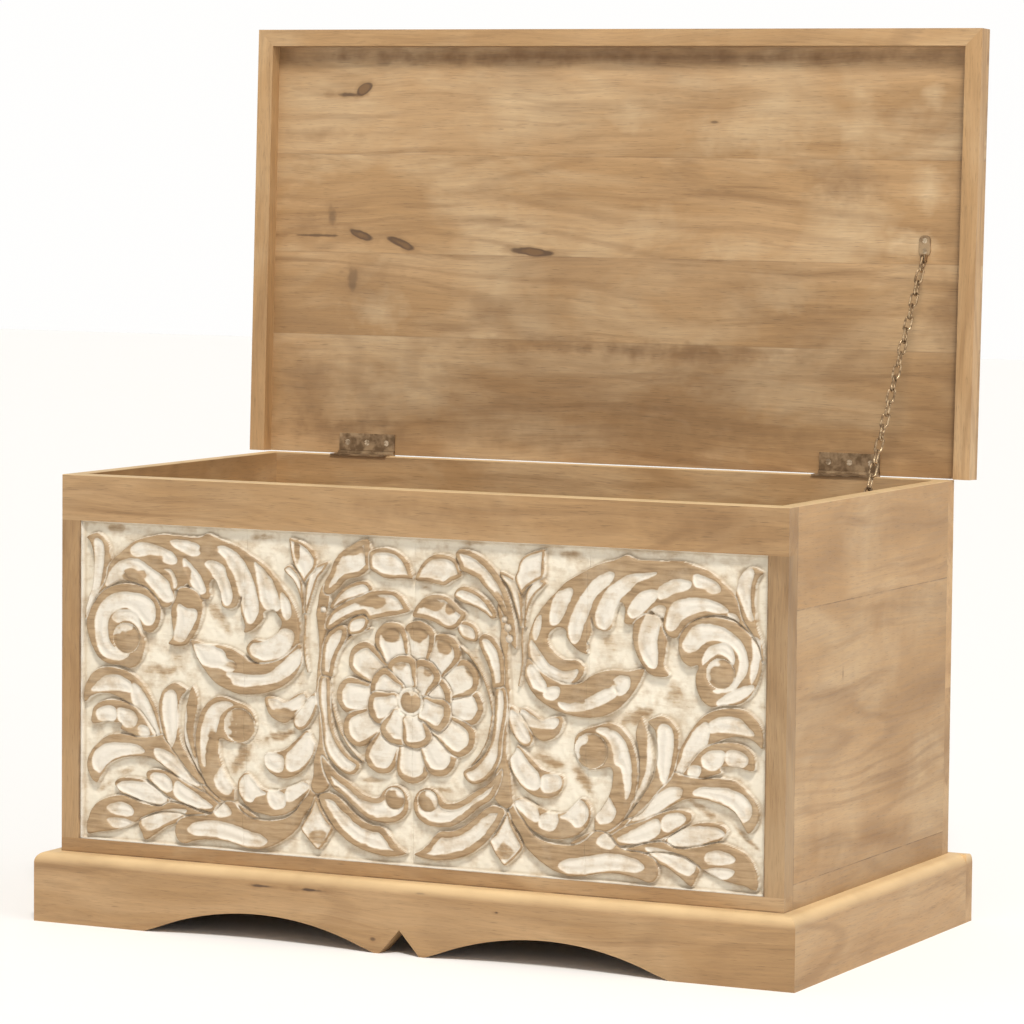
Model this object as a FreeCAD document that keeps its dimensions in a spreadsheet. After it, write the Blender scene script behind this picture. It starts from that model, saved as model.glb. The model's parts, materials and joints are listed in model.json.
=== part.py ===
import FreeCAD, Part
import math
import os
import re
import Sketcher

# Carved blanket chest with a lift-up lid, stood open as it rests on its stay chain.
# Millimetres, Z up. X runs along the front and the front faces -Y.
# The origin lies on the floor, under the middle of the whole open chest.

Vector = FreeCAD.Vector
doc = FreeCAD.newDocument("damchiya_chest")
sheet = doc.addObject("Spreadsheet::Sheet", "Sizes")

sizes = {
    # carcass
    "body_width": 900,
    "body_depth": 490,
    "body_top": 514,
    "carcass_foot": 34,
    "front_thick": 24,
    "side_thick": 18,
    "back_thick": 18,
    "top_rail_height": 52,
    "bottom_rail_reveal": 16,
    "stile_width": 24,
    "side_top_board": 111,
    "side_bottom_board": 74,
    "back_top_board": 240,
    # carved panel in its grooves
    "panel_thick": 21,
    "panel_recess": 1.5,
    "carving_depth": 7,
    "groove_depth": 8,
    "groove_thick": 7,
    "tongue_gap": 0.3,
    # bottom of the chest
    "bottom_thick": 12,
    "bottom_height": 96,
    "cleat_size": 18,
    # plinth
    "plinth_height": 80,
    "plinth_thick": 23,
    "plinth_back_thick": 20,
    "plinth_round": 12,
    "foot_length": 146,
    "arch_height": 31,
    "arch_lip": 18,
    "arch_lip_rise": 6,
    "notch_width": 50,
    "notch_height": 28,
    "notch_tip": 6,
    "block_size": 40,
    "block_lift": 2,
    # lid
    "lid_thick": 12,
    "lid_round": 6,
    "rim_thick": 20,
    "rim_depth": 18,
    "rim_gap": 3,
    "lid_overhang": 1,
    "lid_board_width": 172,
    "lid_open_angle": 92,
    # hinges
    "hinge_inset": 132,
    "hinge_length": 76,
    "leaf_reach": 24,
    "leaf_thick": 1.6,
    "leaf_gap": 0.4,
    "barrel_radius": 3.3,
    "barrel_gap": 0.3,
    "pin_radius": 1.75,
    "pin_play": 0.05,
    "knuckle_gap": 0.25,
    "knuckle_count": 5,
    # screws
    "screw_pitch": 26.6,
    "screw_line": 13,
    "screw_shank": 3.8,
    "screw_length": 14,
    "lid_screw_length": 10,
    "screw_tip": 3,
    "hole_play": 0.05,
    "slot_width": 1.2,
    "slot_depth": 0.8,
    # stay chain
    "chain_reach": 251,
    "chain_stand_off": 5.2,
    "chain_inset": 46,
    "link_count": 21,
    "link_length": 22.3,
    "link_width": 10.5,
    "link_wire": 2.4,
    "link_play": 0.25,
    # fittings at the two ends of the chain
    "bar_radius": 1.6,
    "ear_thick": 1.4,
    "ear_gap": 0.5,
    "ear_reach": 2.4,
    "bracket_width": 14,
    "bracket_length": 24,
    "bracket_start": 4,
    "bracket_round": 6,
    "bracket_screw_pitch": 12,
    "bracket_screw_shank": 3,
    "eye_drop": 28,
    "eye_wall_gap": 0.6,
    "eye_radius": 4.8,
    "eye_shank": 2.8,
    "eye_bite": 13,
    # one overrun for every cut that goes right through
    "overrun": 2,
}
for row, (name, value) in enumerate(sizes.items(), 1):
    sheet.set("A%d" % row, name)
    sheet.set("B%d" % row, str(value))
    sheet.setAlias("B%d" % row, name)
doc.recompute()

# Sums that several pieces share, written in the named sizes.
half_width = "(body_width / 2)"
half_depth = "(body_depth / 2)"
inner_x = "(body_width / 2 - side_thick)"
front_inner_y = "(front_thick - body_depth / 2)"
back_inner_y = "(body_depth / 2 - back_thick)"
plinth_x = "(body_width / 2 + plinth_thick)"
plinth_front_y = "(-body_depth / 2 - plinth_thick)"
panel_low = "(plinth_height + bottom_rail_reveal)"
panel_high = "(body_top - top_rail_height)"
panel_x = "(body_width / 2 - stile_width)"
panel_front_y = "(panel_recess - body_depth / 2)"
groove_front_y = "((front_thick - groove_thick) / 2 - body_depth / 2)"
side_high_joint = "(body_top - side_top_board)"
side_low_joint = "(carcass_foot + side_bottom_board)"
back_joint = "(body_top - back_top_board)"
floor_under = "(bottom_height - bottom_thick)"
chain_x = "(body_width / 2 - chain_inset)"

# The lid is drawn closed, measured from the hinge axis, and all its pieces are turned open together.
pin_y = "(body_depth / 2 + barrel_gap + barrel_radius)"
pin_z = "(body_top + leaf_gap / 2 + leaf_thick)"
lid_x = "(body_width / 2 + rim_gap + rim_thick)"
lid_under = "(leaf_gap / 2 + leaf_thick)"
lid_top = "(leaf_gap / 2 + leaf_thick + lid_thick)"
lid_front = "(-body_depth - barrel_gap - barrel_radius - rim_gap - rim_thick)"
lid_rear_joint = "(lid_overhang - lid_board_width)"
lid_front_joint = "(lid_overhang - 2 * lid_board_width)"
rim_inner_x = "(body_width / 2 + rim_gap)"
rim_inner_y = "(-body_depth - barrel_gap - barrel_radius - rim_gap)"
rim_under = "(leaf_gap / 2 + leaf_thick - rim_depth)"

# The rearmost place of the open lid, on the round of its front edge, sets the middle of the chest.
lid_back_y = (
    pin_y + " + " + lid_front + " * cos(lid_open_angle) + " + lid_top + " * sin(lid_open_angle)"
    " - lid_round * (sin(lid_open_angle) - cos(lid_open_angle) - 1)"
)
middle_y = "((" + plinth_front_y + " + " + lid_back_y + ") / 2)"

pieces = []


def bind(text):
    """Write a sum of named sizes as an expression on the sheet."""

    def on_sheet(word):
        return "Sizes." + word.group() if word.group() in sizes else word.group()

    return re.sub(r"[a-z_]+", on_sheet, text)


def number(text):
    """Work out a sum of named sizes."""
    return float(sheet.evalExpression(bind(text)))


def place(piece, x="0", y="0", z="0", lid=False):
    """Set a piece on the chest, or on the open lid, measured from the hinge axis."""
    angle = -number("lid_open_angle") if lid else 0
    piece.Placement = FreeCAD.Placement(Vector(0, 0, 0), FreeCAD.Rotation(Vector(1, 0, 0), angle))
    if lid:
        y, z = pin_y, pin_z
        piece.setExpression("Placement.Rotation.Angle", bind("0 - lid_open_angle"))
    piece.setExpression("Placement.Base.x", bind(x))
    piece.setExpression("Placement.Base.y", bind(y + " - " + middle_y))
    piece.setExpression("Placement.Base.z", bind(z))


def new_piece(kind, label):
    piece = doc.addObject(kind, label)
    piece.Label = label
    pieces.append(piece)
    return piece


def new_body(label, x="0", y="0", z="0", lid=False):
    piece = new_piece("PartDesign::Body", label)
    place(piece, x, y, z, lid)
    return piece


def new_sketch(piece, role, height):
    sketch = piece.newObject("Sketcher::SketchObject", piece.Name + "_sketch")
    plane = next(feature for feature in piece.Origin.OriginFeatures if feature.Role == role)
    sketch.AttachmentSupport = [(plane, "")]
    sketch.MapMode = "FlatFace"
    sketch.setExpression("AttachmentOffset.Base.z", bind(height))
    return sketch


def fix_point(sketch, shape, point, x, y):
    """Tie one point of the sketch to two sums of named sizes."""
    for kind, text in (("DistanceX", x), ("DistanceY", y)):
        index = sketch.addConstraint(Sketcher.Constraint(kind, -1, 1, shape, point, number(text)))
        sketch.setExpression("Constraints[%d]" % index, bind(text))


def draw_outline(sketch, corners):
    points = [Vector(number(x), number(y), 0) for x, y in corners]
    count = len(points)
    for i in range(count):
        sketch.addGeometry(Part.LineSegment(points[i], points[(i + 1) % count]))
    for i in range(count):
        sketch.addConstraint(Sketcher.Constraint("Coincident", i, 2, (i + 1) % count, 1))
    for i, (x, y) in enumerate(corners):
        fix_point(sketch, i, 1, x, y)


def draw_circle(sketch, x, y, radius):
    centre = Vector(number(x), number(y), 0)
    index = sketch.addGeometry(Part.Circle(centre, Vector(0, 0, 1), number(radius)))
    fix_point(sketch, index, 3, x, y)
    size = sketch.addConstraint(Sketcher.Constraint("Radius", index, number(radius)))
    sketch.setExpression("Constraints[%d]" % size, bind(radius))


def extrude(piece, kind, sketch, low, high):
    """Pad or pocket as long as from low to high."""
    feature = piece.newObject("PartDesign::" + kind, piece.Name + "_" + kind.lower())
    feature.Profile = sketch
    feature.setExpression("Length", bind("(%s) - (%s)" % (high, low)))
    sketch.Visibility = False
    return feature


def add_prism(piece, corners, low, high):
    """Upright prism on an outline of X and Y corners."""
    sketch = new_sketch(piece, "XY_Plane", low)
    draw_outline(sketch, corners)
    extrude(piece, "Pad", sketch, low, high)


def cut_prism(piece, corners, low, high):
    sketch = new_sketch(piece, "XY_Plane", high)
    draw_outline(sketch, corners)
    extrude(piece, "Pocket", sketch, low, high)


def block(left, front, right, back):
    """Corners of a rectangle seen from above."""
    return [(left, front), (right, front), (right, back), (left, back)]


def add_rod(piece, y, z, radius, left, right):
    """Round rod along X."""
    sketch = new_sketch(piece, "YZ_Plane", left)
    draw_circle(sketch, y, z, radius)
    extrude(piece, "Pad", sketch, left, right)


def cut_rod(piece, y, z, radius, left, right):
    sketch = new_sketch(piece, "YZ_Plane", right)
    draw_circle(sketch, y, z, radius)
    extrude(piece, "Pocket", sketch, left, right)


def cut_upright_hole(piece, x, y, radius, low, high):
    sketch = new_sketch(piece, "XY_Plane", high)
    draw_circle(sketch, x, y, radius)
    extrude(piece, "Pocket", sketch, low, high)


def cut_cone(piece, x, y, low, high, low_radius, high_radius):
    """Countersink for a screw head."""
    cone = piece.newObject("PartDesign::SubtractiveCone", piece.Name + "_countersink")
    height = "(%s) - (%s)" % (high, low)
    for name, text in (("Radius1", low_radius), ("Radius2", high_radius), ("Height", height)):
        cone.setExpression(name, bind(text))
    for name, text in (("x", x), ("y", y), ("z", low)):
        cone.setExpression("Placement.Base." + name, bind(text))


def round_edges(piece, radius, test):
    """Round the edges whose middles pass the test."""
    doc.recompute()
    base = piece.Tip
    names = [
        "Edge%d" % (i + 1)
        for i, edge in enumerate(base.Shape.Edges)
        if test(edge.CenterOfMass)
    ]
    fillet = piece.newObject("PartDesign::Fillet", piece.Name + "_fillet")
    fillet.Base = (base, names)
    fillet.setExpression("Radius", bind(radius))


def near(value, text):
    """The same place, to a small share of the finest gap."""
    same_share = 0.1
    return abs(value - number(text)) < same_share * number("knuckle_gap")


# Carcass: the front frame holds the carved panel in grooves, and the sides stand between front and back.
def make_front_frame():
    across = block("-" + half_width, "-" + half_depth, half_width, front_inner_y)
    groove = block(
        "-" + panel_x + " - groove_depth",
        groove_front_y,
        panel_x + " + groove_depth",
        groove_front_y + " + groove_thick",
    )
    top_rail = new_body("front_top_rail")
    add_prism(top_rail, across, panel_high, "body_top")
    cut_prism(top_rail, groove, panel_high + " - overrun", panel_high + " + groove_depth")
    bottom_rail = new_body("front_bottom_rail")
    add_prism(bottom_rail, across, "carcass_foot", panel_low)
    cut_prism(bottom_rail, groove, panel_low + " - groove_depth", panel_low + " + overrun")
    for label, outer, inner in (
        ("front_left_stile", "-" + half_width, "-" + panel_x),
        ("front_right_stile", panel_x, half_width),
    ):
        stile = new_body(label)
        add_prism(stile, block(outer, "-" + half_depth, inner, front_inner_y), panel_low, panel_high)
        cut_prism(stile, groove, panel_low + " - overrun", panel_high + " + overrun")


# Main forms of the carving. Each has a tip, the middle of one edge, the other tip and the middle of the
# other edge, as shares of the field's half width and of its height, measured from the field's middle.
rosette_shares = ((-0.211, 0.000), (0.000, 0.246), (0.211, 0.000), (0.000, -0.246))
# The leaves and bosses of the right half, which the left half mirrors.
form_shares = (
    ((0.972, 0.459), (0.984, 0.372), (0.967, 0.290), (0.920, 0.399)),
    ((0.920, 0.309), (0.645, 0.470), (0.336, 0.148), (0.599, 0.270)),
    ((0.664, 0.145), (0.493, -0.014), (0.324, 0.134), (0.493, 0.098)),
    ((0.357, 0.473), (0.365, 0.405), (0.320, 0.352), (0.296, 0.420)),
    ((0.249, 0.320), (0.155, 0.473), (0.014, 0.380), (0.129, 0.345)),
    ((0.263, 0.254), (0.286, 0.000), (0.244, -0.281), (0.238, 0.000)),
    ((0.214, -0.228), (0.118, -0.350), (0.019, -0.320), (0.129, -0.285)),
    ((0.275, -0.312), (0.145, -0.467), (0.019, -0.462), (0.118, -0.392)),
    ((0.519, -0.303), (0.404, -0.370), (0.287, -0.236), (0.387, -0.290)),
    ((0.702, -0.462), (0.504, -0.485), (0.326, -0.420), (0.504, -0.405)),
    ((0.439, -0.194), (0.336, -0.220), (0.309, -0.082), (0.358, -0.166)),
    ((0.512, -0.046), (0.640, -0.183), (0.535, -0.328), (0.577, -0.189)),
    ((0.697, 0.005), (0.727, -0.088), (0.668, -0.178), (0.680, -0.088)),
    ((0.793, -0.292), (0.705, -0.279), (0.615, -0.352), (0.705, -0.366)),
    ((0.951, -0.320), (0.821, -0.160), (0.649, -0.294), (0.798, -0.240)),
    ((0.971, -0.475), (0.892, -0.355), (0.763, -0.391), (0.857, -0.450)),
    ((0.975, -0.068), (0.863, 0.041), (0.760, -0.135), (0.873, -0.046)),
    ((0.771, 0.175), (0.871, 0.290), (0.970, 0.175), (0.871, 0.060)),
    ((0.470, -0.112), (0.503, -0.073), (0.535, -0.112), (0.503, -0.151)),
)


def add_carving(panel):
    """Raise the rosette, the leaves and the bosses to the panel's front."""
    half_field = number(panel_x)
    field_height = number(panel_high) - number(panel_low)
    field_middle = (number(panel_high) + number(panel_low)) / 2
    sketch = new_sketch(panel, "XZ_Plane", "0 - (" + panel_front_y + " + carving_depth)")

    def draw_form(shares, sign):
        tip, edge, far_tip, far_edge = [
            Vector(sign * x * half_field, field_middle + z * field_height, 0) for x, z in shares
        ]
        for arc in (Part.Arc(tip, edge, far_tip), Part.Arc(far_tip, far_edge, tip)):
            index = sketch.addGeometry(arc)
            sketch.addConstraint(Sketcher.Constraint("Block", index))

    draw_form(rosette_shares, 1)
    for shares in form_shares:
        for sign in (-1, 1):
            draw_form(shares, sign)
    extrude(panel, "Pad", sketch, "0", "carving_depth")


def make_carved_panel():
    panel = new_body("carved_panel")
    ground_y = panel_front_y + " + carving_depth"
    field = block("-" + panel_x, ground_y, panel_x, panel_front_y + " + panel_thick")
    add_prism(panel, field, panel_low, panel_high)
    reach = panel_x + " + groove_depth - tongue_gap"
    tongue = block(
        "-(" + reach + ")",
        groove_front_y + " + tongue_gap",
        reach,
        groove_front_y + " + groove_thick - tongue_gap",
    )
    edge = "(groove_depth - tongue_gap)"
    add_prism(panel, tongue, "(" + panel_low + " - " + edge + ")", "(" + panel_high + " + " + edge + ")")
    add_carving(panel)


def make_sides():
    levels = (
        ("top", side_high_joint, "body_top"),
        ("middle", side_low_joint, side_high_joint),
        ("bottom", "carcass_foot", side_low_joint),
    )
    for side, outer, inner in (("left", "-" + half_width, "-" + inner_x), ("right", inner_x, half_width)):
        for level, low, high in levels:
            board = new_body("%s_side_%s_board" % (side, level))
            add_prism(board, block(outer, front_inner_y, inner, back_inner_y), low, high)


def make_back():
    across = block("-" + half_width, back_inner_y, half_width, half_depth)
    top_board = new_body("back_top_board")
    add_prism(top_board, across, back_joint, "body_top")
    depth = "(body_top + leaf_thick - screw_length)"
    hole_y = pin_y + " - screw_line"
    for x in hinge_screw_places():
        cut_upright_hole(top_board, x, hole_y, "screw_shank / 2 + hole_play", depth, "(body_top + overrun)")
    add_prism(new_body("back_bottom_board"), across, "carcass_foot", back_joint)


def make_floor():
    inside = block("-" + inner_x, front_inner_y, inner_x, back_inner_y)
    add_prism(new_body("bottom_panel"), inside, floor_under, "bottom_height")
    for label, near_y, far_y in (
        ("front_bottom_cleat", front_inner_y, front_inner_y + " + cleat_size"),
        ("back_bottom_cleat", back_inner_y + " - cleat_size", back_inner_y),
    ):
        cleat = block("-" + inner_x, near_y, inner_x, far_y)
        add_prism(new_body(label), cleat, floor_under + " - cleat_size", floor_under)


# Plinth: mitred at the front corners, with two arches and a notch under the front board.
def make_plinth():
    front = new_body("plinth_front")
    mitred = [
        ("-" + plinth_x, plinth_front_y),
        (plinth_x, plinth_front_y),
        (half_width, "-" + half_depth),
        ("-" + half_width, "-" + half_depth),
    ]
    add_prism(front, mitred, "0", "plinth_height")
    cut_arches(front)
    round_edges(front, "plinth_round", lambda p: near(p.z, "plinth_height") and near(p.y, plinth_front_y))
    for label, sign in (("plinth_left", "-"), ("plinth_right", "")):
        board = new_body(label)
        corners = [
            (sign + plinth_x, plinth_front_y),
            (sign + half_width, "-" + half_depth),
            (sign + half_width, half_depth),
            (sign + plinth_x, half_depth),
        ]
        add_prism(board, corners, "0", "plinth_height")
        round_edges(board, "plinth_round", lambda p: near(p.z, "plinth_height") and near(abs(p.x), plinth_x))
    back = new_body("plinth_back")
    back_y = half_depth + " + plinth_back_thick"
    add_prism(back, block("-" + plinth_x, half_depth, plinth_x, back_y), "0", "plinth_height")
    round_edges(back, "plinth_round", lambda p: near(p.z, "plinth_height") and near(p.y, back_y))


def cut_arches(board):
    """Arches on both sides and a pointed notch between them, cut from front to back."""
    end_x = number(plinth_x)
    tip_x = number("notch_width / 2")
    start = end_x - number("foot_length")
    stop = tip_x + number("notch_tip")
    lip, rise = number("arch_lip"), number("arch_lip_rise")
    top, middle = number("arch_height"), (start + stop) / 2
    below = -number("overrun")
    sketch = new_sketch(board, "XZ_Plane", half_depth + " - overrun")
    for sign in (-1, 1):
        corners = [
            Vector(sign * start, below, 0),
            Vector(sign * start, 0, 0),
            Vector(sign * (start - lip), rise, 0),
            Vector(sign * (stop + lip), rise, 0),
            Vector(sign * stop, 0, 0),
            Vector(sign * stop, below, 0),
        ]
        first = sketch.GeometryCount
        for i in (0, 1):
            sketch.addGeometry(Part.LineSegment(corners[i], corners[i + 1]))
        sketch.addGeometry(Part.Arc(corners[2], Vector(sign * middle, top, 0), corners[3]))
        for i in (3, 4):
            sketch.addGeometry(Part.LineSegment(corners[i], corners[i + 1]))
        sketch.addGeometry(Part.LineSegment(corners[5], corners[0]))
        for i in range(first, first + 6):
            sketch.addConstraint(Sketcher.Constraint("Block", i))
    notch = [
        Vector(-tip_x, below, 0),
        Vector(-tip_x, 0, 0),
        Vector(0, number("notch_height"), 0),
        Vector(tip_x, 0, 0),
        Vector(tip_x, below, 0),
    ]
    for i, point in enumerate(notch):
        line = sketch.addGeometry(Part.LineSegment(point, notch[(i + 1) % len(notch)]))
        sketch.addConstraint(Sketcher.Constraint("Block", line))
    pocket = extrude(board, "Pocket", sketch, "-overrun", "plinth_thick + overrun")
    pocket.Reversed = True


def make_corner_blocks():
    blocks = []
    for x in ("-" + half_width, half_width + " - block_size"):
        for y in ("-" + half_depth, half_depth + " - block_size"):
            wedge = doc.addObject("Part::Box", "glue_block")
            wedge.setExpression("Length", bind("block_size"))
            wedge.setExpression("Width", bind("block_size"))
            wedge.setExpression("Height", bind("carcass_foot - block_lift"))
            wedge.setExpression("Placement.Base.x", bind(x))
            wedge.setExpression("Placement.Base.y", bind(y))
            wedge.setExpression("Placement.Base.z", bind("block_lift"))
            blocks.append(wedge)
    group = new_piece("Part::Compound", "plinth_corner_blocks")
    group.Links = blocks
    place(group)


# Lid: three glued boards with a rim under the front and both ends.
def on_lid_border(p):
    return near(p.z, lid_top) and (near(abs(p.x), lid_x) or near(p.y, lid_front))


def make_lid():
    hole_radius = "bracket_screw_shank / 2 + hole_play"
    boards = (
        ("lid_rear_board", lid_rear_joint, "lid_overhang"),
        ("lid_middle_board", lid_front_joint, lid_rear_joint),
        ("lid_front_board", lid_front, lid_front_joint),
    )
    for label, front, back in boards:
        board = new_body(label, lid=True)
        add_prism(board, block("-" + lid_x, front, lid_x, back), lid_under, lid_top)
        if label == "lid_rear_board":
            cut_hinge_gains(board)
        if label == "lid_middle_board":
            for y in bracket_screw_places():
                cut_upright_hole(board, chain_x, y, hole_radius, lid_under + " - overrun", lid_screw_top)
        round_edges(board, "lid_round", on_lid_border)
    front_rim = new_body("lid_front_rim", lid=True)
    corners = [
        ("-" + lid_x, lid_front),
        (lid_x, lid_front),
        (rim_inner_x, rim_inner_y),
        ("-" + rim_inner_x, rim_inner_y),
    ]
    add_prism(front_rim, corners, rim_under, lid_under)
    for label, sign in (("lid_left_rim", "-"), ("lid_right_rim", "")):
        rim = new_body(label, lid=True)
        corners = [
            (sign + lid_x, lid_front),
            (sign + rim_inner_x, rim_inner_y),
            (sign + rim_inner_x, "lid_overhang"),
            (sign + lid_x, "lid_overhang"),
        ]
        add_prism(rim, corners, rim_under, lid_under)


def cut_hinge_gains(board):
    """Room for the two barrels and holes for the hinge screws in the rear board."""
    for centre in hinge_centres:
        left = centre + " - hinge_length / 2 - knuckle_gap"
        right = centre + " + hinge_length / 2 + knuckle_gap"
        gain = block(left, "-barrel_radius - barrel_gap", right, "lid_overhang + overrun")
        cut_prism(board, gain, "(" + lid_under + " - overrun)", "(barrel_radius + barrel_gap)")
    hole_radius = "screw_shank / 2 + hole_play"
    for x in hinge_screw_places():
        cut_upright_hole(board, x, "-screw_line", hole_radius, lid_under + " - overrun", lid_screw_top)


# Hinges: each leaf is a plate with knuckles that wrap the pin.
hinge_centres = ("(hinge_inset - body_width / 2)", "(body_width / 2 - hinge_inset)")
lid_screw_top = "(leaf_gap / 2 + lid_screw_length)"


def hinge_screw_places():
    return ["(%s + %d * screw_pitch)" % (centre, step) for centre in hinge_centres for step in (-1, 0, 1)]


def bracket_screw_places():
    middle = "(-chain_reach - bracket_start - bracket_length / 2)"
    return ["(%s %s bracket_screw_pitch / 2)" % (middle, sign) for sign in ("-", "+")]


def make_leaf(label, centre, own, low, high, lid):
    """One leaf, on the back board or on the lid, with its own ones of the knuckles."""
    leaf = new_body(label, lid=True) if lid else new_body(label, "0", pin_y, pin_z)
    left = "(" + centre + " - hinge_length / 2)"
    right = "(" + centre + " + hinge_length / 2)"
    plate_y = "(-barrel_radius - knuckle_gap)"
    add_prism(leaf, block(left, "-leaf_reach", right, plate_y), low, high)
    for i in own:
        start_gap = "knuckle_gap / 2" if i > 0 else "0"
        stop_gap = "knuckle_gap / 2" if i + 1 < sizes["knuckle_count"] else "0"
        start = "(%s + %d * hinge_length / knuckle_count + %s)" % (left, i, start_gap)
        stop = "(%s + %d * hinge_length / knuckle_count - %s)" % (left, i + 1, stop_gap)
        add_prism(leaf, block(start, plate_y + " - overrun", stop, "0"), low, high)
        add_rod(leaf, "0", "0", "barrel_radius", start, stop)
    cut_rod(leaf, "0", "0", "(pin_radius + pin_play)", left + " - overrun", "(" + right + " + overrun)")
    small, large = "screw_shank / 2 + hole_play", "screw_shank / 2 + leaf_thick + hole_play"
    low_radius, high_radius = (large, small) if lid else (small, large)
    for step in (-1, 0, 1):
        x = "(%s + %d * screw_pitch)" % (centre, step)
        cut_cone(leaf, x, "-screw_line", low, high, low_radius, high_radius)


def make_hinges():
    own_first = range(0, sizes["knuckle_count"], 2)
    own_second = range(1, sizes["knuckle_count"], 2)
    for side, centre in zip(("left", "right"), hinge_centres):
        under_gap = "(-leaf_gap / 2 - leaf_thick)"
        make_leaf(side + "_hinge_body_leaf", centre, own_first, under_gap, "(-leaf_gap / 2)", False)
        make_leaf(side + "_hinge_lid_leaf", centre, own_second, "(leaf_gap / 2)", lid_under, True)
        pin = new_body(side + "_hinge_pin", centre, pin_y, pin_z)
        add_rod(pin, "0", "0", "pin_radius", "(-hinge_length / 2)", "(hinge_length / 2)")


# Screws: one turned form for each size, with its head at the origin and its point down.
def make_screw_form(name, shank, length):
    form = doc.addObject("PartDesign::Body", name)
    sketch = new_sketch(form, "XZ_Plane", "0")
    radius = shank + " / 2"
    profile = [
        ("0", "0"),
        (radius + " + leaf_thick", "0"),
        (radius, "-leaf_thick"),
        (radius, "screw_tip - " + length),
        ("0", "-" + length),
    ]
    draw_outline(sketch, profile)
    turned = form.newObject("PartDesign::Revolution", name + "_turned")
    turned.Profile = sketch
    turned.ReferenceAxis = (sketch, ["V_Axis"])
    turned.Angle = 360
    sketch.Visibility = False
    reach = "(%s + leaf_thick + overrun)" % radius
    slot = block("-" + reach, "-slot_width / 2", reach, "slot_width / 2")
    cut_prism(form, slot, "(0 - slot_depth)", "overrun")
    return form


def make_screw_group(label, form, points, lid):
    """Copies of one screw in one piece, because they are all the same."""
    doc.recompute()
    turn = FreeCAD.Rotation(Vector(1, 0, 0), 180 if lid else 0)
    copies = []
    for x, y, z in points:
        screw = form.Shape.copy()
        screw.Placement = FreeCAD.Placement(Vector(number(x), number(y), number(z)), turn)
        copies.append(screw)
    group = new_piece("Part::Feature", label)
    group.Shape = Part.makeCompound(copies)
    place(group, lid=lid)


def make_screws():
    body_form = make_screw_form("body_screw_form", "screw_shank", "screw_length")
    lid_form = make_screw_form("lid_screw_form", "screw_shank", "lid_screw_length")
    bracket_form = make_screw_form("bracket_screw_form", "bracket_screw_shank", "lid_screw_length")
    head_z = "body_top + leaf_thick"
    body_points = [(x, pin_y + " - screw_line", head_z) for x in hinge_screw_places()]
    make_screw_group("hinge_body_screws", body_form, body_points, False)
    lid_points = [(x, "-screw_line", "leaf_gap / 2") for x in hinge_screw_places()]
    make_screw_group("hinge_lid_screws", lid_form, lid_points, True)
    bracket_points = [(chain_x, y, "leaf_gap / 2") for y in bracket_screw_places()]
    make_screw_group("chain_bracket_screws", bracket_form, bracket_points, True)


# Stay chain: from a bar on the lid bracket to a screw eye in the right side, pulled straight.
def make_chain_bracket():
    bracket = new_body("chain_bracket", lid=True)
    left, right = "(" + chain_x + " - bracket_width / 2)", "(" + chain_x + " + bracket_width / 2)"
    start, stop = "(-chain_reach - bracket_start)", "(-chain_reach - bracket_start - bracket_length)"
    low = "(leaf_gap / 2)"
    add_prism(bracket, block(left, stop, right, start), low, lid_under)

    def at_corner(p):
        return (near(p.x, left) or near(p.x, right)) and (near(p.y, start) or near(p.y, stop))

    round_edges(bracket, "bracket_round", at_corner)
    bar_z = "(leaf_gap / 2 + leaf_thick - chain_stand_off)"
    inner, outer = "(link_wire / 2 + ear_gap)", "(link_wire / 2 + ear_gap + ear_thick)"
    for first, last in (("-" + outer, "-" + inner), (inner, outer)):
        ear_left, ear_right = chain_x + " + " + first, chain_x + " + " + last
        ear = block(ear_left, start + " - overrun", ear_right, "ear_reach - chain_reach")
        add_prism(bracket, ear, "(" + bar_z + " - ear_reach)", lid_under)
    bar_left, bar_right = "(" + chain_x + " - " + outer + ")", "(" + chain_x + " + " + outer + ")"
    add_rod(bracket, "-chain_reach", bar_z, "bar_radius", bar_left, bar_right)
    small = "bracket_screw_shank / 2 + hole_play"
    large = "bracket_screw_shank / 2 + leaf_thick + hole_play"
    for y in bracket_screw_places():
        cut_cone(bracket, chain_x, y, low, lid_under, large, small)


def chain_line():
    """Start of the chain at the bar, its direction, and the crosswise direction near X."""
    angle = math.radians(number("lid_open_angle"))
    reach = -number("chain_reach")
    lift = number(lid_under + " - chain_stand_off")
    start = Vector(
        number(chain_x),
        number(pin_y + " - " + middle_y) + reach * math.cos(angle) + lift * math.sin(angle),
        number(pin_z) - reach * math.sin(angle) + lift * math.cos(angle),
    )
    length = chain_pivots()[-1] + number("eye_radius")
    across = number(inner_x + " - eye_wall_gap - eye_radius - link_wire / 2") - start.x
    down = number("body_top - eye_drop") - start.z
    along = -math.sqrt(length ** 2 - across ** 2 - down ** 2)
    direction = Vector(across, along, down) / length
    cross = (Vector(1, 0, 0) - direction * direction.x).normalize()
    return start, direction, cross


def chain_pivots():
    """Distances along the taut chain at which one wire bears on the next."""
    wire, play = number("link_wire"), number("link_play")
    inside = number("link_length") - 2 * wire
    distances = [0]
    for i in range(int(number("link_count"))):
        if i % 2 == 1:
            distances.append(distances[-1] + number("link_length") - wire)
            continue
        bar = number("bar_radius") if i == 0 else wire / 2
        distances.append(distances[-1] + inside - bar - wire / 2 - 2 * play)
    return distances


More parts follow.
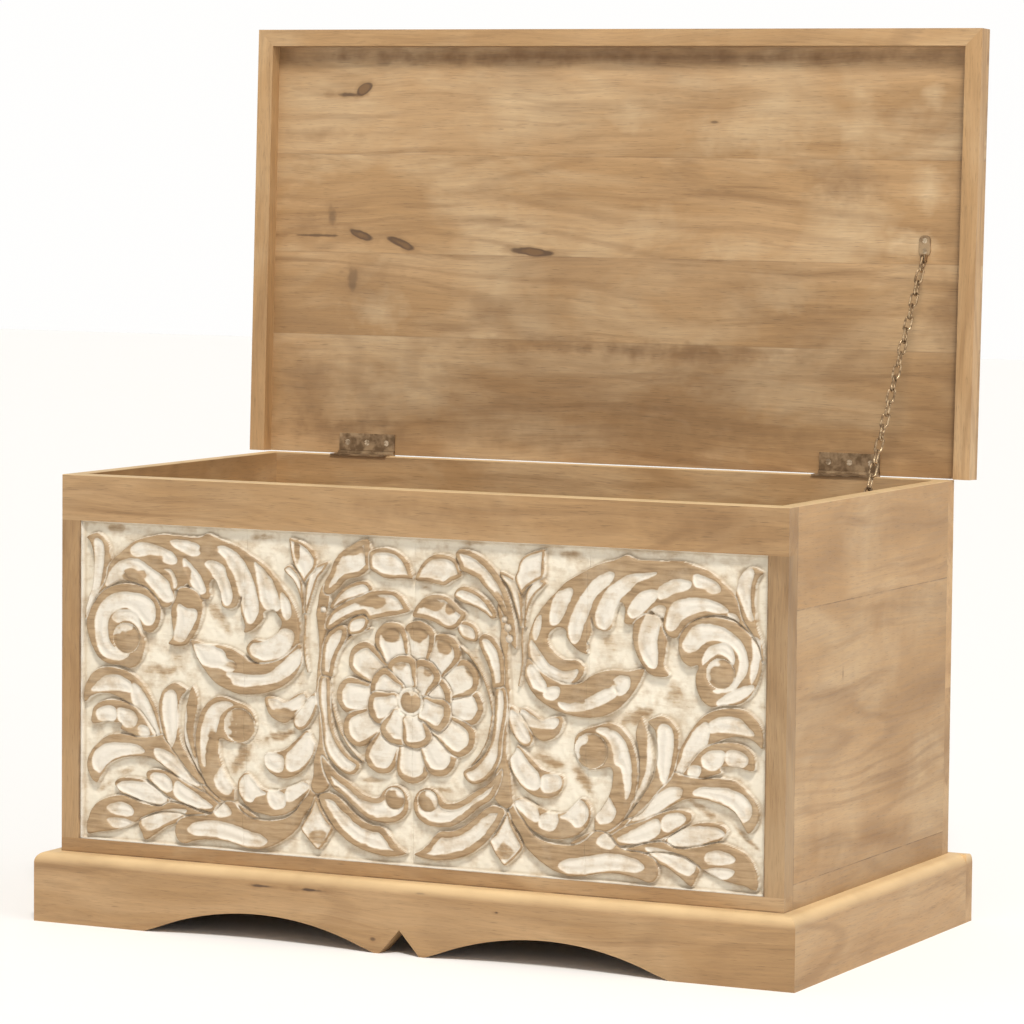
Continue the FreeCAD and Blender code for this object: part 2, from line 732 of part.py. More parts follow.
def make_chain():
    start, direction, cross = chain_line()
    pivots = chain_pivots()
    wire, play = number("link_wire"), number("link_play")
    for i in range(int(number("link_count"))):
        link = new_piece("PartDesign::Body", "chain_link_%02d" % (i + 1))
        straight = "(link_length - link_width)"
        for turn, y in ((0, straight + " / 2"), (180, "-" + straight + " / 2")):
            crown = link.newObject("PartDesign::AdditiveTorus", link.Name + "_crown")
            crown.Placement = FreeCAD.Placement(Vector(0, 0, 0), FreeCAD.Rotation(Vector(0, 0, 1), turn))
            crown.setExpression("Placement.Base.y", bind(y))
            crown.setExpression("Radius1", bind("(link_width - link_wire) / 2"))
            crown.setExpression("Radius2", bind("link_wire / 2"))
            crown.Angle3 = 180
        for x in ("(link_width - link_wire) / 2", "(link_wire - link_width) / 2"):
            leg = link.newObject("PartDesign::AdditiveCylinder", link.Name + "_leg")
            leg.Placement = FreeCAD.Placement(Vector(0, 0, 0), FreeCAD.Rotation(Vector(1, 0, 0), -90))
            leg.setExpression("Placement.Base.x", bind(x))
            leg.setExpression("Placement.Base.y", bind("-" + straight + " / 2"))
            leg.setExpression("Radius", bind("link_wire / 2"))
            leg.setExpression("Height", bind(straight))
        middle = (pivots[i] + pivots[i + 1]) / 2
        if i == 0:
            middle += (wire / 2 - number("bar_radius")) / 2
        sideways = direction.cross(cross) if i % 2 == 0 else cross
        turn = FreeCAD.Rotation(sideways, direction, sideways.cross(direction), "XYZ")
        link.Placement = FreeCAD.Placement(start + direction * middle, turn)


def make_screw_eye():
    start, direction, cross = chain_line()
    centre = start + direction * (chain_pivots()[-1] + number("eye_radius"))
    ring = Part.makeTorus(number("eye_radius"), number("link_wire / 2"), centre, direction.cross(cross))
    shank_start = centre + Vector(number("eye_radius"), 0, 0)
    shank_length = number(inner_x + " + eye_bite") - shank_start.x
    shank = Part.makeCylinder(number("eye_shank / 2"), shank_length, shank_start, Vector(1, 0, 0))
    new_piece("Part::Feature", "chain_screw_eye").Shape = ring.fuse(shank)
    board = doc.getObject("right_side_top_board")
    middle = number(middle_y)
    sketch = new_sketch(board, "YZ_Plane", inner_x + " + eye_bite + overrun / 2")
    centre_2d = Vector(centre.y + middle, centre.z, 0)
    hole = sketch.addGeometry(Part.Circle(centre_2d, Vector(0, 0, 1), number("eye_shank / 2 + hole_play")))
    sketch.addConstraint(Sketcher.Constraint("Block", hole))
    extrude(board, "Pocket", sketch, "-overrun", "eye_bite + overrun")


def check_and_write():
    """Stop on any broken object, then write one file for each piece."""
    doc.recompute()
    for item in doc.Objects:
        if "Invalid" in item.State or "Error" in item.State:
            raise RuntimeError("%s is %s" % (item.Name, item.State))
    for piece in pieces:
        if piece.TypeId != "PartDesign::Body":
            continue
        before = 0
        for feature in piece.Group:
            if not feature.isDerivedFrom("PartDesign::Feature"):
                continue
            volume = feature.Shape.Volume
            cuts = feature.TypeId.split("::")[1] in ("Pocket", "SubtractiveCone", "Fillet")
            if (volume >= before) if cuts else (volume <= before):
                raise RuntimeError("%s changes nothing in %s" % (feature.Name, piece.Label))
            before = volume
    os.makedirs("parts", exist_ok=True)
    for piece in pieces:
        shape = piece.Shape
        if shape.isNull() or not shape.isValid() or not shape.Solids:
            raise RuntimeError("%s has no valid shape" % piece.Label)
        shape.exportStep("parts/%s.step" % piece.Label)
    print("%d pieces" % len(pieces))


make_front_frame()
make_carved_panel()
make_sides()
make_back()
make_floor()
make_plinth()
make_corner_blocks()
make_lid()
make_hinges()
make_screws()
make_chain_bracket()
make_chain()
make_screw_eye()
check_and_write()
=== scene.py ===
import bpy
import json
import math
import numpy as np
from mathutils import Matrix, Vector


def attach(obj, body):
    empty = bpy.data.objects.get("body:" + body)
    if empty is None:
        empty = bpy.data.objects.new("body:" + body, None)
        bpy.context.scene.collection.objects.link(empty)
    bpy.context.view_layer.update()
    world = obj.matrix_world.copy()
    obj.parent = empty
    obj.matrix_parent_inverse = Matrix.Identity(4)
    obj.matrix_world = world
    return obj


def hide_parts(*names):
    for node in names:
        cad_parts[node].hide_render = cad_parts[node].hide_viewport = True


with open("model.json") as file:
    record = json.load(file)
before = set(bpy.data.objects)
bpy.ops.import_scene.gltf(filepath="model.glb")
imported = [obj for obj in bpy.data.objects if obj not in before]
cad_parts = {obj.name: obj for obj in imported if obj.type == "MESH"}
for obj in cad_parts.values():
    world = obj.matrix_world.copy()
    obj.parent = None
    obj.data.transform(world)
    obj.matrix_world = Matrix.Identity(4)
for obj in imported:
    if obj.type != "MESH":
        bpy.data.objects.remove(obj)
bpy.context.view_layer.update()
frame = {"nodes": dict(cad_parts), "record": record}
print("chest frame loaded,", len(frame["nodes"]), "nodes")


# camera, floor and light
photoCamera = {"place": (2.35556, -4.81290, 0.89517), "yaw": 26.08, "pitch": -4.5, "roll": -0.55,
               "lens": 164.32, "sensor": 36, "clip": (0.1, 60)}


def turned(axis, degrees):
    return Matrix.Rotation(math.radians(degrees), 3, axis)


def aimCamera(look):
    data = bpy.data.cameras.new("photoCamera")
    data.lens, data.sensor_width = look["lens"], look["sensor"]
    data.clip_start, data.clip_end = look["clip"]
    camera = bpy.data.objects.new("photoCamera", data)
    bpy.context.scene.collection.objects.link(camera)
    turn = turned("Z", look["yaw"]) @ turned("X", look["pitch"]) @ turned("Y", look["roll"])
    turn = turn @ turned("X", 90)
    camera.matrix_world = Matrix.Translation(Vector(look["place"])) @ turn.to_4x4()
    bpy.context.scene.camera = camera


studio = {"skyColour": (1.0, 0.995, 0.985), "overhead": 0.40, "horizon": 1.0, "skyFade": (0.14, 0.36),
          "sunStrength": 2.5, "sunPlace": (1.2, -2.0, 3.2), "sunSoft": 11, "sunColour": (1, 0.975, 0.93),
          "fillPower": 26, "fillPlace": (3.2, -1.6, 1.4), "fillTarget": (0.2, 0, 0.4), "fillSize": 2.2,
          "fillColour": (1, 0.99, 0.98),
          "floorColour": (0.95, 0.945, 0.935), "floorReach": 14, "floorRoughness": 0.9}


def setSky(look):
    world = bpy.data.worlds.new("studioSky")
    world.use_nodes = True
    nodes, links = world.node_tree.nodes, world.node_tree.links
    sky, where = nodes["Background"], nodes.new("ShaderNodeTexCoord")
    split = nodes.new("ShaderNodeSeparateXYZ")
    fade = nodes.new("ShaderNodeMapRange")  # bright at the horizon, softer above
    links.new(where.outputs["Generated"], split.inputs[0])
    links.new(split.outputs["Z"], fade.inputs["Value"])
    fade.inputs["From Min"].default_value, fade.inputs["From Max"].default_value = look["skyFade"]
    fade.inputs["To Min"].default_value = look["horizon"]
    fade.inputs["To Max"].default_value = look["overhead"]
    links.new(fade.outputs[0], sky.inputs["Strength"])
    sky.inputs["Color"].default_value = (*look["skyColour"], 1)
    bpy.context.scene.world = world


def hangLamp(name, kind, place, target, strength, size, colour):
    data = bpy.data.lights.new(name, kind)
    data.energy, data.color = strength, colour
    if kind == "SUN":
        data.angle = math.radians(size)
    else:
        data.size = size
    lamp = bpy.data.objects.new(name, data)
    lamp.location = place
    lamp.rotation_euler = (Vector(target) - Vector(place)).to_track_quat("-Z", "Y").to_euler()
    bpy.context.scene.collection.objects.link(lamp)


def layFloor(look):
    far = look["floorReach"]
    mesh = bpy.data.meshes.new("studioFloor")
    mesh.from_pydata([(-far, -far, 0), (far, -far, 0), (far, far, 0), (-far, far, 0)], [], [(0, 1, 2, 3)])
    floor = bpy.data.objects.new("studioFloor", mesh)
    bpy.context.scene.collection.objects.link(floor)
    paper = bpy.data.materials.new("floorPaper")
    paper.use_nodes = True
    shader = paper.node_tree.nodes["Principled BSDF"]
    shader.inputs["Base Color"].default_value = (*look["floorColour"], 1)
    shader.inputs["Roughness"].default_value = look["floorRoughness"]
    mesh.materials.append(paper)


def setStudio(look):
    setSky(look)
    hangLamp("softSun", "SUN", look["sunPlace"], (0, 0, 0), look["sunStrength"], look["sunSoft"],
             look["sunColour"])
    hangLamp("fillLamp", "AREA", look["fillPlace"], look["fillTarget"], look["fillPower"], look["fillSize"],
             look["fillColour"])
    layFloor(look)
    bpy.context.scene.view_settings.view_transform = "Standard"  # white paper stays white


aimCamera(photoCamera)
setStudio(studio)
print("camera and studio set")


# node helpers: each makes one node and wires its inputs
class Finish:
    def __init__(self, name):
        self.material = bpy.data.materials.new(name)
        self.material.use_nodes = True
        self.tree = self.material.node_tree
        self.shader = self.tree.nodes["Principled BSDF"]

    def add(self, kind, out=0, values=None, **wires):
        node = self.tree.nodes.new(kind)
        for key, value in (values or {}).items():
            setattr(node, key, value)
        for key, value in wires.items():  # i0, i1 and so on stand for unnamed inputs
            numbered = key[0] == "i" and key[1:].isdigit()
            self.wire(value, node.inputs[int(key[1:]) if numbered else key.replace("_", " ")])
        return node.outputs[out]

    def wire(self, value, socket):
        if isinstance(value, bpy.types.NodeSocket):
            self.tree.links.new(value, socket)
        elif isinstance(value, tuple) and len(value) == 3 and socket.type == "RGBA":
            socket.default_value = (*value, 1)
        else:
            socket.default_value = value

    def maths(self, how, a, b=0.0):
        return self.add("ShaderNodeMath", 0, {"operation": how}, i0=a, i1=b)

    def times(self, a, b):
        return self.maths("MULTIPLY", a, b)

    def vector(self, how, out=0, **wires):
        return self.add("ShaderNodeVectorMath", out, {"operation": how}, **wires)

    def noise(self, where, scale, detail=3.0, rough=0.55, warp=0.0, out=0):
        return self.add("ShaderNodeTexNoise", out, None, Vector=where, Scale=scale, Detail=detail,
                        Roughness=rough, Distortion=warp)

    def stretch(self, where, scale, shift=(0, 0, 0), turn=(0, 0, 0)):
        return self.add("ShaderNodeMapping", 0, None, Vector=where, Location=shift, Rotation=turn,
                        Scale=scale)

    def span(self, value, low, high, toLow=0.0, toHigh=1.0):
        return self.add("ShaderNodeMapRange", 0, {"clamp": True}, i0=value, i1=low, i2=high, i3=toLow,
                        i4=toHigh)

    def blend(self, amount, a, b, how="MIX"):
        node = self.tree.nodes.new("ShaderNodeMix")
        node.data_type, node.blend_type = "RGBA", how
        self.wire(amount, node.inputs[0])
        self.wire(a, node.inputs[6])
        self.wire(b, node.inputs[7])
        return node.outputs[2]

    def stain(self, colour, mask, much, target):
        return self.blend(self.times(mask, much), colour, target)

    def ramp(self, value, stops):
        node = self.tree.nodes.new("ShaderNodeValToRGB")
        self.wire(value, node.inputs[0])
        while len(node.color_ramp.elements) < len(stops):
            node.color_ramp.elements.new(0.5)
        for element, (at, colour) in zip(node.color_ramp.elements, stops):
            element.position, element.color = at, (*colour, 1)
        return node.outputs[0]

    def bump(self, height, strength, distance):
        normal = self.add("ShaderNodeBump", 0, None, Strength=strength, Distance=distance, Height=height)
        self.wire(normal, self.shader.inputs["Normal"])

    def give(self, **sockets):
        for key, value in sockets.items():
            self.wire(value, self.shader.inputs[key.replace("_", " ")])
        return self.material


# mango wood: its colours, then each layer of the grain (scale along it, scale across it, detail, roughness
# and warp of the noise), and how strongly the layers, seams and lines show
mangoWood = {"dark": (0.235, 0.122, 0.046), "mid": (0.425, 0.25, 0.108), "light": (0.52, 0.325, 0.158),
             "pale": (0.63, 0.455, 0.265), "worn": (0.72, 0.51, 0.27), "knot": (0.085, 0.045, 0.022),
             "roughness": (0.49, 0.66)}
grain = {"broad": (1.3, 11.0, 4.0, 0.6, 0.5), "field": (1.0, 5.5, 1.2, 0.4), "patches": (2.0, 4.0, 2.0),
         "streak": (2.4, 60.0, 4.0, 0.62), "fine": (9.0, 420.0, 3.0, 0.6), "pores": (60.0, 1500.0),
         "clouds": (3.4, 6.4), "shadow": (2.2, 5.5), "ringCount": 105.0, "cloudDepth": 0.62,
         "shadowDepth": 0.50, "ringDepth": 0.30, "streakDepth": 0.50, "seamHalf": 0.0011,
         "seamDepth": 0.2, "lineHalf": 0.0014, "lineDepth": 0.6}


def alongScale(axis, along, across):
    return tuple(along if letter == axis else across for letter in "XYZ")


def scaled(values, factor):
    return tuple(factor * value for value in values)


class Wood(Finish):
    def __init__(self, name, axis, seed, seams=()):
        super().__init__(name)
        self.axis = axis
        self.place = self.add("ShaderNodeTexCoord", 3)
        self.split = self.tree.nodes.new("ShaderNodeSeparateXYZ")
        self.wire(self.place, self.split.inputs[0])
        self.rough = self.noise(self.place, 45.0, 2.0)  # makes the edges of spots and lines ragged
        self.seeded = self.stretch(self.place, (1, 1, 1), (seed * 1.37, seed * 0.91, seed * 0.53))
        if seams:  # each board of the surface gets its own stretch of grain
            self.board = self.maths("GREATER_THAN", self.split.outputs[2], seams[0])
            for at in seams[1:]:
                above = self.maths("GREATER_THAN", self.split.outputs[2], at)
                self.board = self.maths("ADD", self.board, above)
            jump = self.vector("SCALE", i0=(2.31, 0.77, 1.53), Scale=self.board)
            self.seeded = self.vector("ADD", i0=self.seeded, i1=jump)
        drift = self.noise(self.stretch(self.seeded, alongScale(axis, 1.7, 5.0)), 1.6, 2.0, 0.5, out=1)
        self.bent = self.vector("ADD", i0=self.seeded, i1=self.vector("SCALE", i0=drift, Scale=0.05))

    def fibres(self, along, across, detail=3.0, rough=0.6, warp=0.0):
        where = self.stretch(self.bent, alongScale(self.axis, along, across))
        return self.noise(where, 1.0, detail, rough, warp)

    def cloudy(self, scale, shift, size, rough, warp):
        where = self.stretch(self.seeded, alongScale(self.axis, *scale), shift)
        return self.noise(where, size, 4.0, rough, warp)

    def spot(self, centre, half, ragged=0.35, inner=0.0, turn=0):
        middle = turned("Y", turn) @ Vector(centre)
        away = self.stretch(self.place, (1, 1, 1), tuple(-middle), (0, math.radians(turn), 0))
        away = self.stretch(away, tuple(1 / h for h in half))
        edge = self.span(self.rough, 0.3, 0.7, -ragged, ragged)
        return self.span(self.maths("ADD", self.vector("LENGTH", 1, i0=away), edge), 1.0, inner)

    def line(self, axis, at, half):
        off = self.maths("ABSOLUTE", self.maths("SUBTRACT", self.split.outputs["XYZ".index(axis)], at))
        return self.times(self.span(off, half, half * 0.4), self.span(self.rough, 0.35, 0.6, 0.25, 1.0))


def shadeOf(name, much):  # a colour part of the way from mid
    return tuple(m + (d - m) * much for m, d in zip(mangoWood["mid"], mangoWood[name]))


def woodFinish(name, axis, seed, tone=1.0, cloud=1.0, worn=None, seams=(), pale=(), stainsAndShadow=(), knots=(),
               slots=(), lines=()):
    w = Wood(name, axis, seed, seams)
    palest, dark, black = mangoWood["pale"], mangoWood["dark"], mangoWood["knot"]
    broad = w.fibres(*grain["broad"])
    rings = w.maths("SINE", w.times(w.fibres(*grain["field"]), grain["ringCount"]))  # flat-sawn figure
    rings = w.times(w.span(rings, 0.35, 1.0), w.span(w.fibres(*grain["patches"]), 0.42, 0.62))
    streak = w.fibres(*grain["streak"])
    fine = w.fibres(*grain["fine"])
    pores = w.noise(w.stretch(w.seeded, alongScale(axis, *grain["pores"])), 1.0, 1.0, 0.5)
    clouds = w.cloudy(grain["clouds"], (3.1, 1.7, 2.3), 1.3, 0.6, 0.5)
    shadow = w.cloudy(grain["shadow"], (7.1, 4.7, 5.3), 1.2, 0.65, 0.4)
    colour = w.ramp(broad, [(0.30, shadeOf("dark", 0.45)), (0.47, mangoWood["mid"]),
                            (0.66, mangoWood["light"])])
    colour = w.blend(w.span(clouds, 0.46, 0.70, 0.0, grain["cloudDepth"] * cloud), colour, palest)
    for centre, half, much in pale:
        colour = w.stain(colour, w.spot(centre, half), much, palest)
    colour = w.blend(w.span(shadow, 0.52, 0.74, 0.0, grain["shadowDepth"] * cloud), colour, dark)
    # dark spots: stains, and on the lid also a painted shadow under its front rim
    for centre, half, much in stainsAndShadow:
        colour = w.stain(colour, w.spot(centre, half), much, dark)
    colour = w.stain(colour, rings, grain["ringDepth"], dark)
    colour = w.blend(w.span(streak, 0.55, 0.72, 0.0, grain["streakDepth"]), colour, dark)
    shade = w.times(w.span(fine, 0.3, 0.7, 0.88, 1.07), w.span(pores, 0.62, 0.72, 1.0, 0.72))
    if seams:  # each board has a tone of its own too
        wave = w.maths("SINE", w.maths("ADD", w.times(w.board, 1.9), -2.2))
        shade = w.times(shade, w.maths("ADD", 0.965, w.times(wave, 0.035)))
    shade = w.times(shade, tone)
    grey = w.add("ShaderNodeCombineColor", 0, None, Red=shade, Green=shade, Blue=shade)
    colour = w.blend(1.0, colour, grey, "MULTIPLY")
    for centre, half, much in knots:
        colour = w.stain(colour, w.spot(centre, scaled(half, 1.9), 0.5, 0.3), 0.55 * much, dark)
        colour = w.stain(colour, w.spot(centre, half, 0.45, 0.5), much, black)
    for centre, half, turn in slots:  # old knots filled flush: a dark line round a brown filling
        colour = w.stain(colour, w.spot(centre, scaled(half, 1.6), 0.3, 0.5, turn), 0.45, dark)
        colour = w.stain(colour, w.spot(centre, half, 0.16, 0.8, turn), 0.85, black)
        colour = w.stain(colour, w.spot(centre, scaled(half, 0.7), 0.5, 0.5, turn), 0.6, dark)
    for at in seams:
        colour = w.stain(colour, w.line("Z", at, grain["seamHalf"]), grain["seamDepth"], black)
    for where, at in lines:
        colour = w.stain(colour, w.line(where, at, grain["lineHalf"]), grain["lineDepth"], black)
    # pale above the worn band: rubbed finish and painted highlight on the top faces and the plinth's
    # rounding
    if worn:
        rub = w.noise(w.stretch(w.place, (14, 14, 14)), 1.0, 3.0)
        mask = w.times(w.span(w.split.outputs[2], *worn), w.span(rub, 0.25, 0.6, 0.6, 1.0))
        colour = w.blend(mask, colour, mangoWood["worn"])
    w.bump(w.maths("ADD", w.times(shade, 0.5), w.times(streak, 0.3)), 0.3, 0.0006)
    return w.give(Base_Color=colour, Roughness=w.span(fine, 0.3, 0.7, *mangoWood["roughness"]))


def dress(node, material):
    mesh = frame["nodes"][node].data
    mesh.materials.clear()
    mesh.materials.append(material)


# tone is darker below 1; worn is the band of heights where the finish turns pale: partly rubbed finish,
# partly a painted highlight on the upward faces
topFaceWearAndSheen, plinthRoundWearAndSheen = (0.5132, 0.5138), (0.0675, 0.0785)
stileJoint = ("Y", -0.2268)  # where the side boards meet the front stiles
boards = {
    "front_top_rail": {"axis": "X", "seed": 1, "tone": 0.885, "worn": topFaceWearAndSheen, "cloud": 0.5,
                       "stainsAndShadow": [((0.36, -0.25, 0.49), (0.10, 0.02, 0.03), 0.5),
                                  ((0.02, -0.25, 0.49), (0.16, 0.02, 0.02), 0.4)]},
    "front_bottom_rail": {"axis": "X", "seed": 2, "tone": 0.90, "cloud": 0.8, "lines": [("Z", 0.0805)]},
    "front_left_stile": {"axis": "Z", "seed": 3, "tone": 0.865, "cloud": 0.5, "lines": [("X", -0.4265)]},
    "front_right_stile": {"axis": "Z", "seed": 4, "tone": 0.755, "cloud": 0.6, "lines": [("X", 0.4265)]},
    "left_side_top_board": {"axis": "Y", "seed": 5, "worn": topFaceWearAndSheen},
    "left_side_middle_board": {"axis": "Y", "seed": 6},
    "left_side_bottom_board": {"axis": "Y", "seed": 7, "tone": 0.93},
    "right_side_top_board": {"axis": "Y", "seed": 8, "tone": 0.99, "worn": topFaceWearAndSheen, "cloud": 0.7,
                             "lines": [stileJoint]},
    "right_side_middle_board": {"axis": "Y", "seed": 9, "tone": 0.925, "cloud": 0.8,
                                "lines": [("Z", 0.4028), stileJoint],
                                "knots": [((0.45, -0.0935, 0.3238), (0.01, 0.0025, 0.008), 0.4)]},
    "right_side_bottom_board": {"axis": "Y", "seed": 10, "tone": 0.85, "cloud": 0.6,
                                "lines": [("Z", 0.1078), stileJoint]},
    "back_top_board": {"axis": "X", "seed": 11, "tone": 1.12, "worn": topFaceWearAndSheen},
    "back_bottom_board": {"axis": "X", "seed": 12},
    "bottom_panel": {"axis": "X", "seed": 13, "tone": 0.95},
    "front_bottom_cleat": {"axis": "X", "seed": 14, "tone": 0.9},
    "back_bottom_cleat": {"axis": "X", "seed": 15, "tone": 0.9},
    "plinth_corner_blocks": {"axis": "Z", "seed": 16, "tone": 0.9},
    "plinth_front": {"axis": "X", "seed": 17, "tone": 0.835, "worn": plinthRoundWearAndSheen, "cloud": 0.35,
                     "knots": [((-0.173, -0.274, 0.0637), (0.012, 0.006, 0.0016), 0.9),
                               ((-0.112, -0.274, 0.0641), (0.016, 0.006, 0.002), 1.0),
                               ((-0.0324, -0.274, 0.0156), (0.005, 0.006, 0.003), 0.8),
                               ((0.120, -0.274, 0.0575), (0.004, 0.006, 0.002), 0.9),
                               ((0.0256, -0.274, 0.071), (0.006, 0.006, 0.0012), 0.9)]},
    "plinth_left": {"axis": "Y", "seed": 18, "worn": plinthRoundWearAndSheen, "cloud": 0.6},
    "plinth_right": {"axis": "Y", "seed": 19, "tone": 0.89, "worn": plinthRoundWearAndSheen, "cloud": 0.6},
    "plinth_back": {"axis": "X", "seed": 20, "worn": plinthRoundWearAndSheen},
    "lid_front_rim": {"axis": "X", "seed": 24, "tone": 1.02, "cloud": 0.6},
    "lid_left_rim": {"axis": "Z", "seed": 25, "tone": 1.06, "cloud": 0.6},
    "lid_right_rim": {"axis": "Z", "seed": 26, "tone": 1.0, "cloud": 0.6},
}
for node, look in boards.items():
    dress(node, woodFinish(node + "_wood", **look))


# the three boards of the lid share one finish, which shows the photo's own joints between its boards
lidPlane = {"y": 0.2443, "z": 0.5158, "lean": 0.0351, "halfDepth": 0.012}  # inner face of the open lid


def lidSpots(rows):  # a spot is too thin to reach the lid's outer face
    spots = []
    for x, z, wide, tall, much in rows:
        y = lidPlane["y"] + lidPlane["lean"] * (z - lidPlane["z"])
        spots.append(((x, y, z), (wide, lidPlane["halfDepth"], tall), much))
    return spots


# each row: x, z, half width, half height, then strength, or for the slots the turn in degrees
lidFace = {"axis": "X", "seed": 22, "tone": 0.98, "cloud": 1.15, "seams": (0.881, 0.761, 0.660),
           "pale": [(0.027, 0.9275, 0.035, 0.022, 0.55), (0.101, 0.972, 0.045, 0.02, 0.5),
                    (0.18, 0.9085, 0.09, 0.028, 0.5), (0.319, 0.915, 0.03, 0.07, 0.5),
                    (-0.308, 0.691, 0.05, 0.03, 0.6), (-0.261, 0.595, 0.1, 0.035, 0.6),
                    (0.237, 0.728, 0.05, 0.03, 0.5), (0.165, 0.772, 0.06, 0.02, 0.5),
                    (0.408, 0.847, 0.03, 0.035, 0.7), (0.375, 0.785, 0.05, 0.022, 0.8),
                    (-0.131, 0.792, 0.07, 0.03, 0.5), (0.2, 0.61, 0.12, 0.03, 0.4),
                    (0.41, 0.955, 0.02, 0.02, 0.6), (0.06, 0.8, 0.05, 0.03, 0.4)],
           "stainsAndShadow": [(0.308, 0.852, 0.06, 0.035, 0.6), (-0.05, 0.654, 0.2, 0.012, 0.6),
                      (0.098, 0.648, 0.15, 0.014, 0.75), (-0.39, 0.905, 0.06, 0.012, 0.45),
                      (-0.4, 0.6, 0.05, 0.05, 0.45), (-0.35, 0.545, 0.1, 0.02, 0.6),
                      (0.43, 0.7, 0.03, 0.06, 0.5), (-0.32, 0.735, 0.05, 0.03, 0.35),
                      (0.0, 0.56, 0.4, 0.04, 0.4), (0.3, 0.64, 0.15, 0.03, 0.3),
                      # the last spot, the dark band along the top under the front rim, is a painted shadow
                      # of the rim
                      (-0.41, 0.79, 0.03, 0.03, 0.4), (0.0, 1.0, 0.9, 0.011, 1.0)],
           "knots": [(-0.352, 0.9535, 0.02, 0.0028, 0.8), (-0.375, 0.806, 0.007, 0.013, 0.45),
                     (-0.395, 0.781, 0.045, 0.0016, 0.7), (-0.345, 0.73, 0.007, 0.014, 0.45),
                     (0.134, 0.9235, 0.006, 0.002, 0.6)],
           "slots": [(-0.332, 0.7825, 0.0185, 0.0056, -17), (-0.28, 0.7737, 0.022, 0.0056, -19),
                     (-0.098, 0.7661, 0.031, 0.0052, -4), (-0.333, 0.9605, 0.0135, 0.0065, 28)]}
for key in ("pale", "stainsAndShadow", "knots", "slots"):
    lidFace[key] = lidSpots(lidFace[key])
lidWood = woodFinish("lidBoard_wood", **lidFace)
lidBoards = ("lid_rear_board", "lid_middle_board", "lid_front_board")
for node in lidBoards:
    dress(node, lidWood)
print("boards finished,", len(boards) + len(lidBoards))


# hinges, screws and chain
metals = {
    "hinge_bronze": {"name": "hingeBronze", "base": (0.20, 0.125, 0.065), "worn": (0.44, 0.30, 0.17),
                     "roughness": 0.45, "grime": 0.15, "patchSize": 70.0},
    "screw_metal": {"name": "screwSteel", "base": (0.36, 0.26, 0.16), "worn": (0.75, 0.60, 0.42),
                    "roughness": 0.38},
    "chain_brass": {"name": "chainBrass", "base": (0.19, 0.12, 0.062), "worn": (0.58, 0.42, 0.25),
                    "roughness": 0.38},
}


def metalFinish(name, base, worn, roughness, grime=0.3, patchSize=160.0):
    m = Finish(name)
    place = m.add("ShaderNodeTexCoord", 3)
    patches = m.noise(place, patchSize, 3.0, 0.55)
    specks = m.noise(place, 900.0, 2.0, 0.5)
    colour = m.blend(m.span(patches, 0.42, 0.62), base, worn)
    colour = m.blend(m.span(specks, 0.55, 0.7, 0.0, grime), colour, scaled(base, 0.35))
    m.bump(m.maths("ADD", patches, m.times(specks, 0.4)), 0.4, 0.0004)
    rough = m.span(patches, 0.35, 0.65, roughness + 0.12, roughness - 0.08)
    return m.give(Base_Color=colour, Metallic=0.7, Roughness=rough)


metalFinishes = {slot: metalFinish(**look) for slot, look in metals.items()}
for entry in frame["record"]["subparts"]:
    if entry["material_slot"] in metalFinishes:
        dress(entry["node"], metalFinishes[entry["material_slot"]])
dress("chain_bracket", metalFinishes["hinge_bronze"])
print("metal finished")


# carved panel in millimetres, x along the front and z up from the floor; waves: height, size, seed
carving = {"left": -426, "right": 426, "low": 96, "high": 462, "front": -249.607, "back": -228.607,
           "sunk": 7.6, "wall": 2.3, "scoop": 2.6, "crown": 0.9, "overlap": 2.4, "rimScale": 1.08,
           "strips": 4, "groundWaves": ((0.9, 14, 1), (0.7, 5, 2)), "wobble": ((1.6, 12, 3), (1.3, 5, 4)),
           "toolMarks": ((0.35, 4, 6),), "leafGroove": (2.2, 1.1), "bossGroove": (1.6, 1.2),
           "bossDrop": 0.6, "bossOverlap": 3, "petalDrop": 1.2, "highest": -0.05, "border": -0.4,
           # the last two: how far round and how deep the painted recess shade reaches
           "borderFade": 2.5, "dirtReach": 4, "dirtDepth": 2.6}

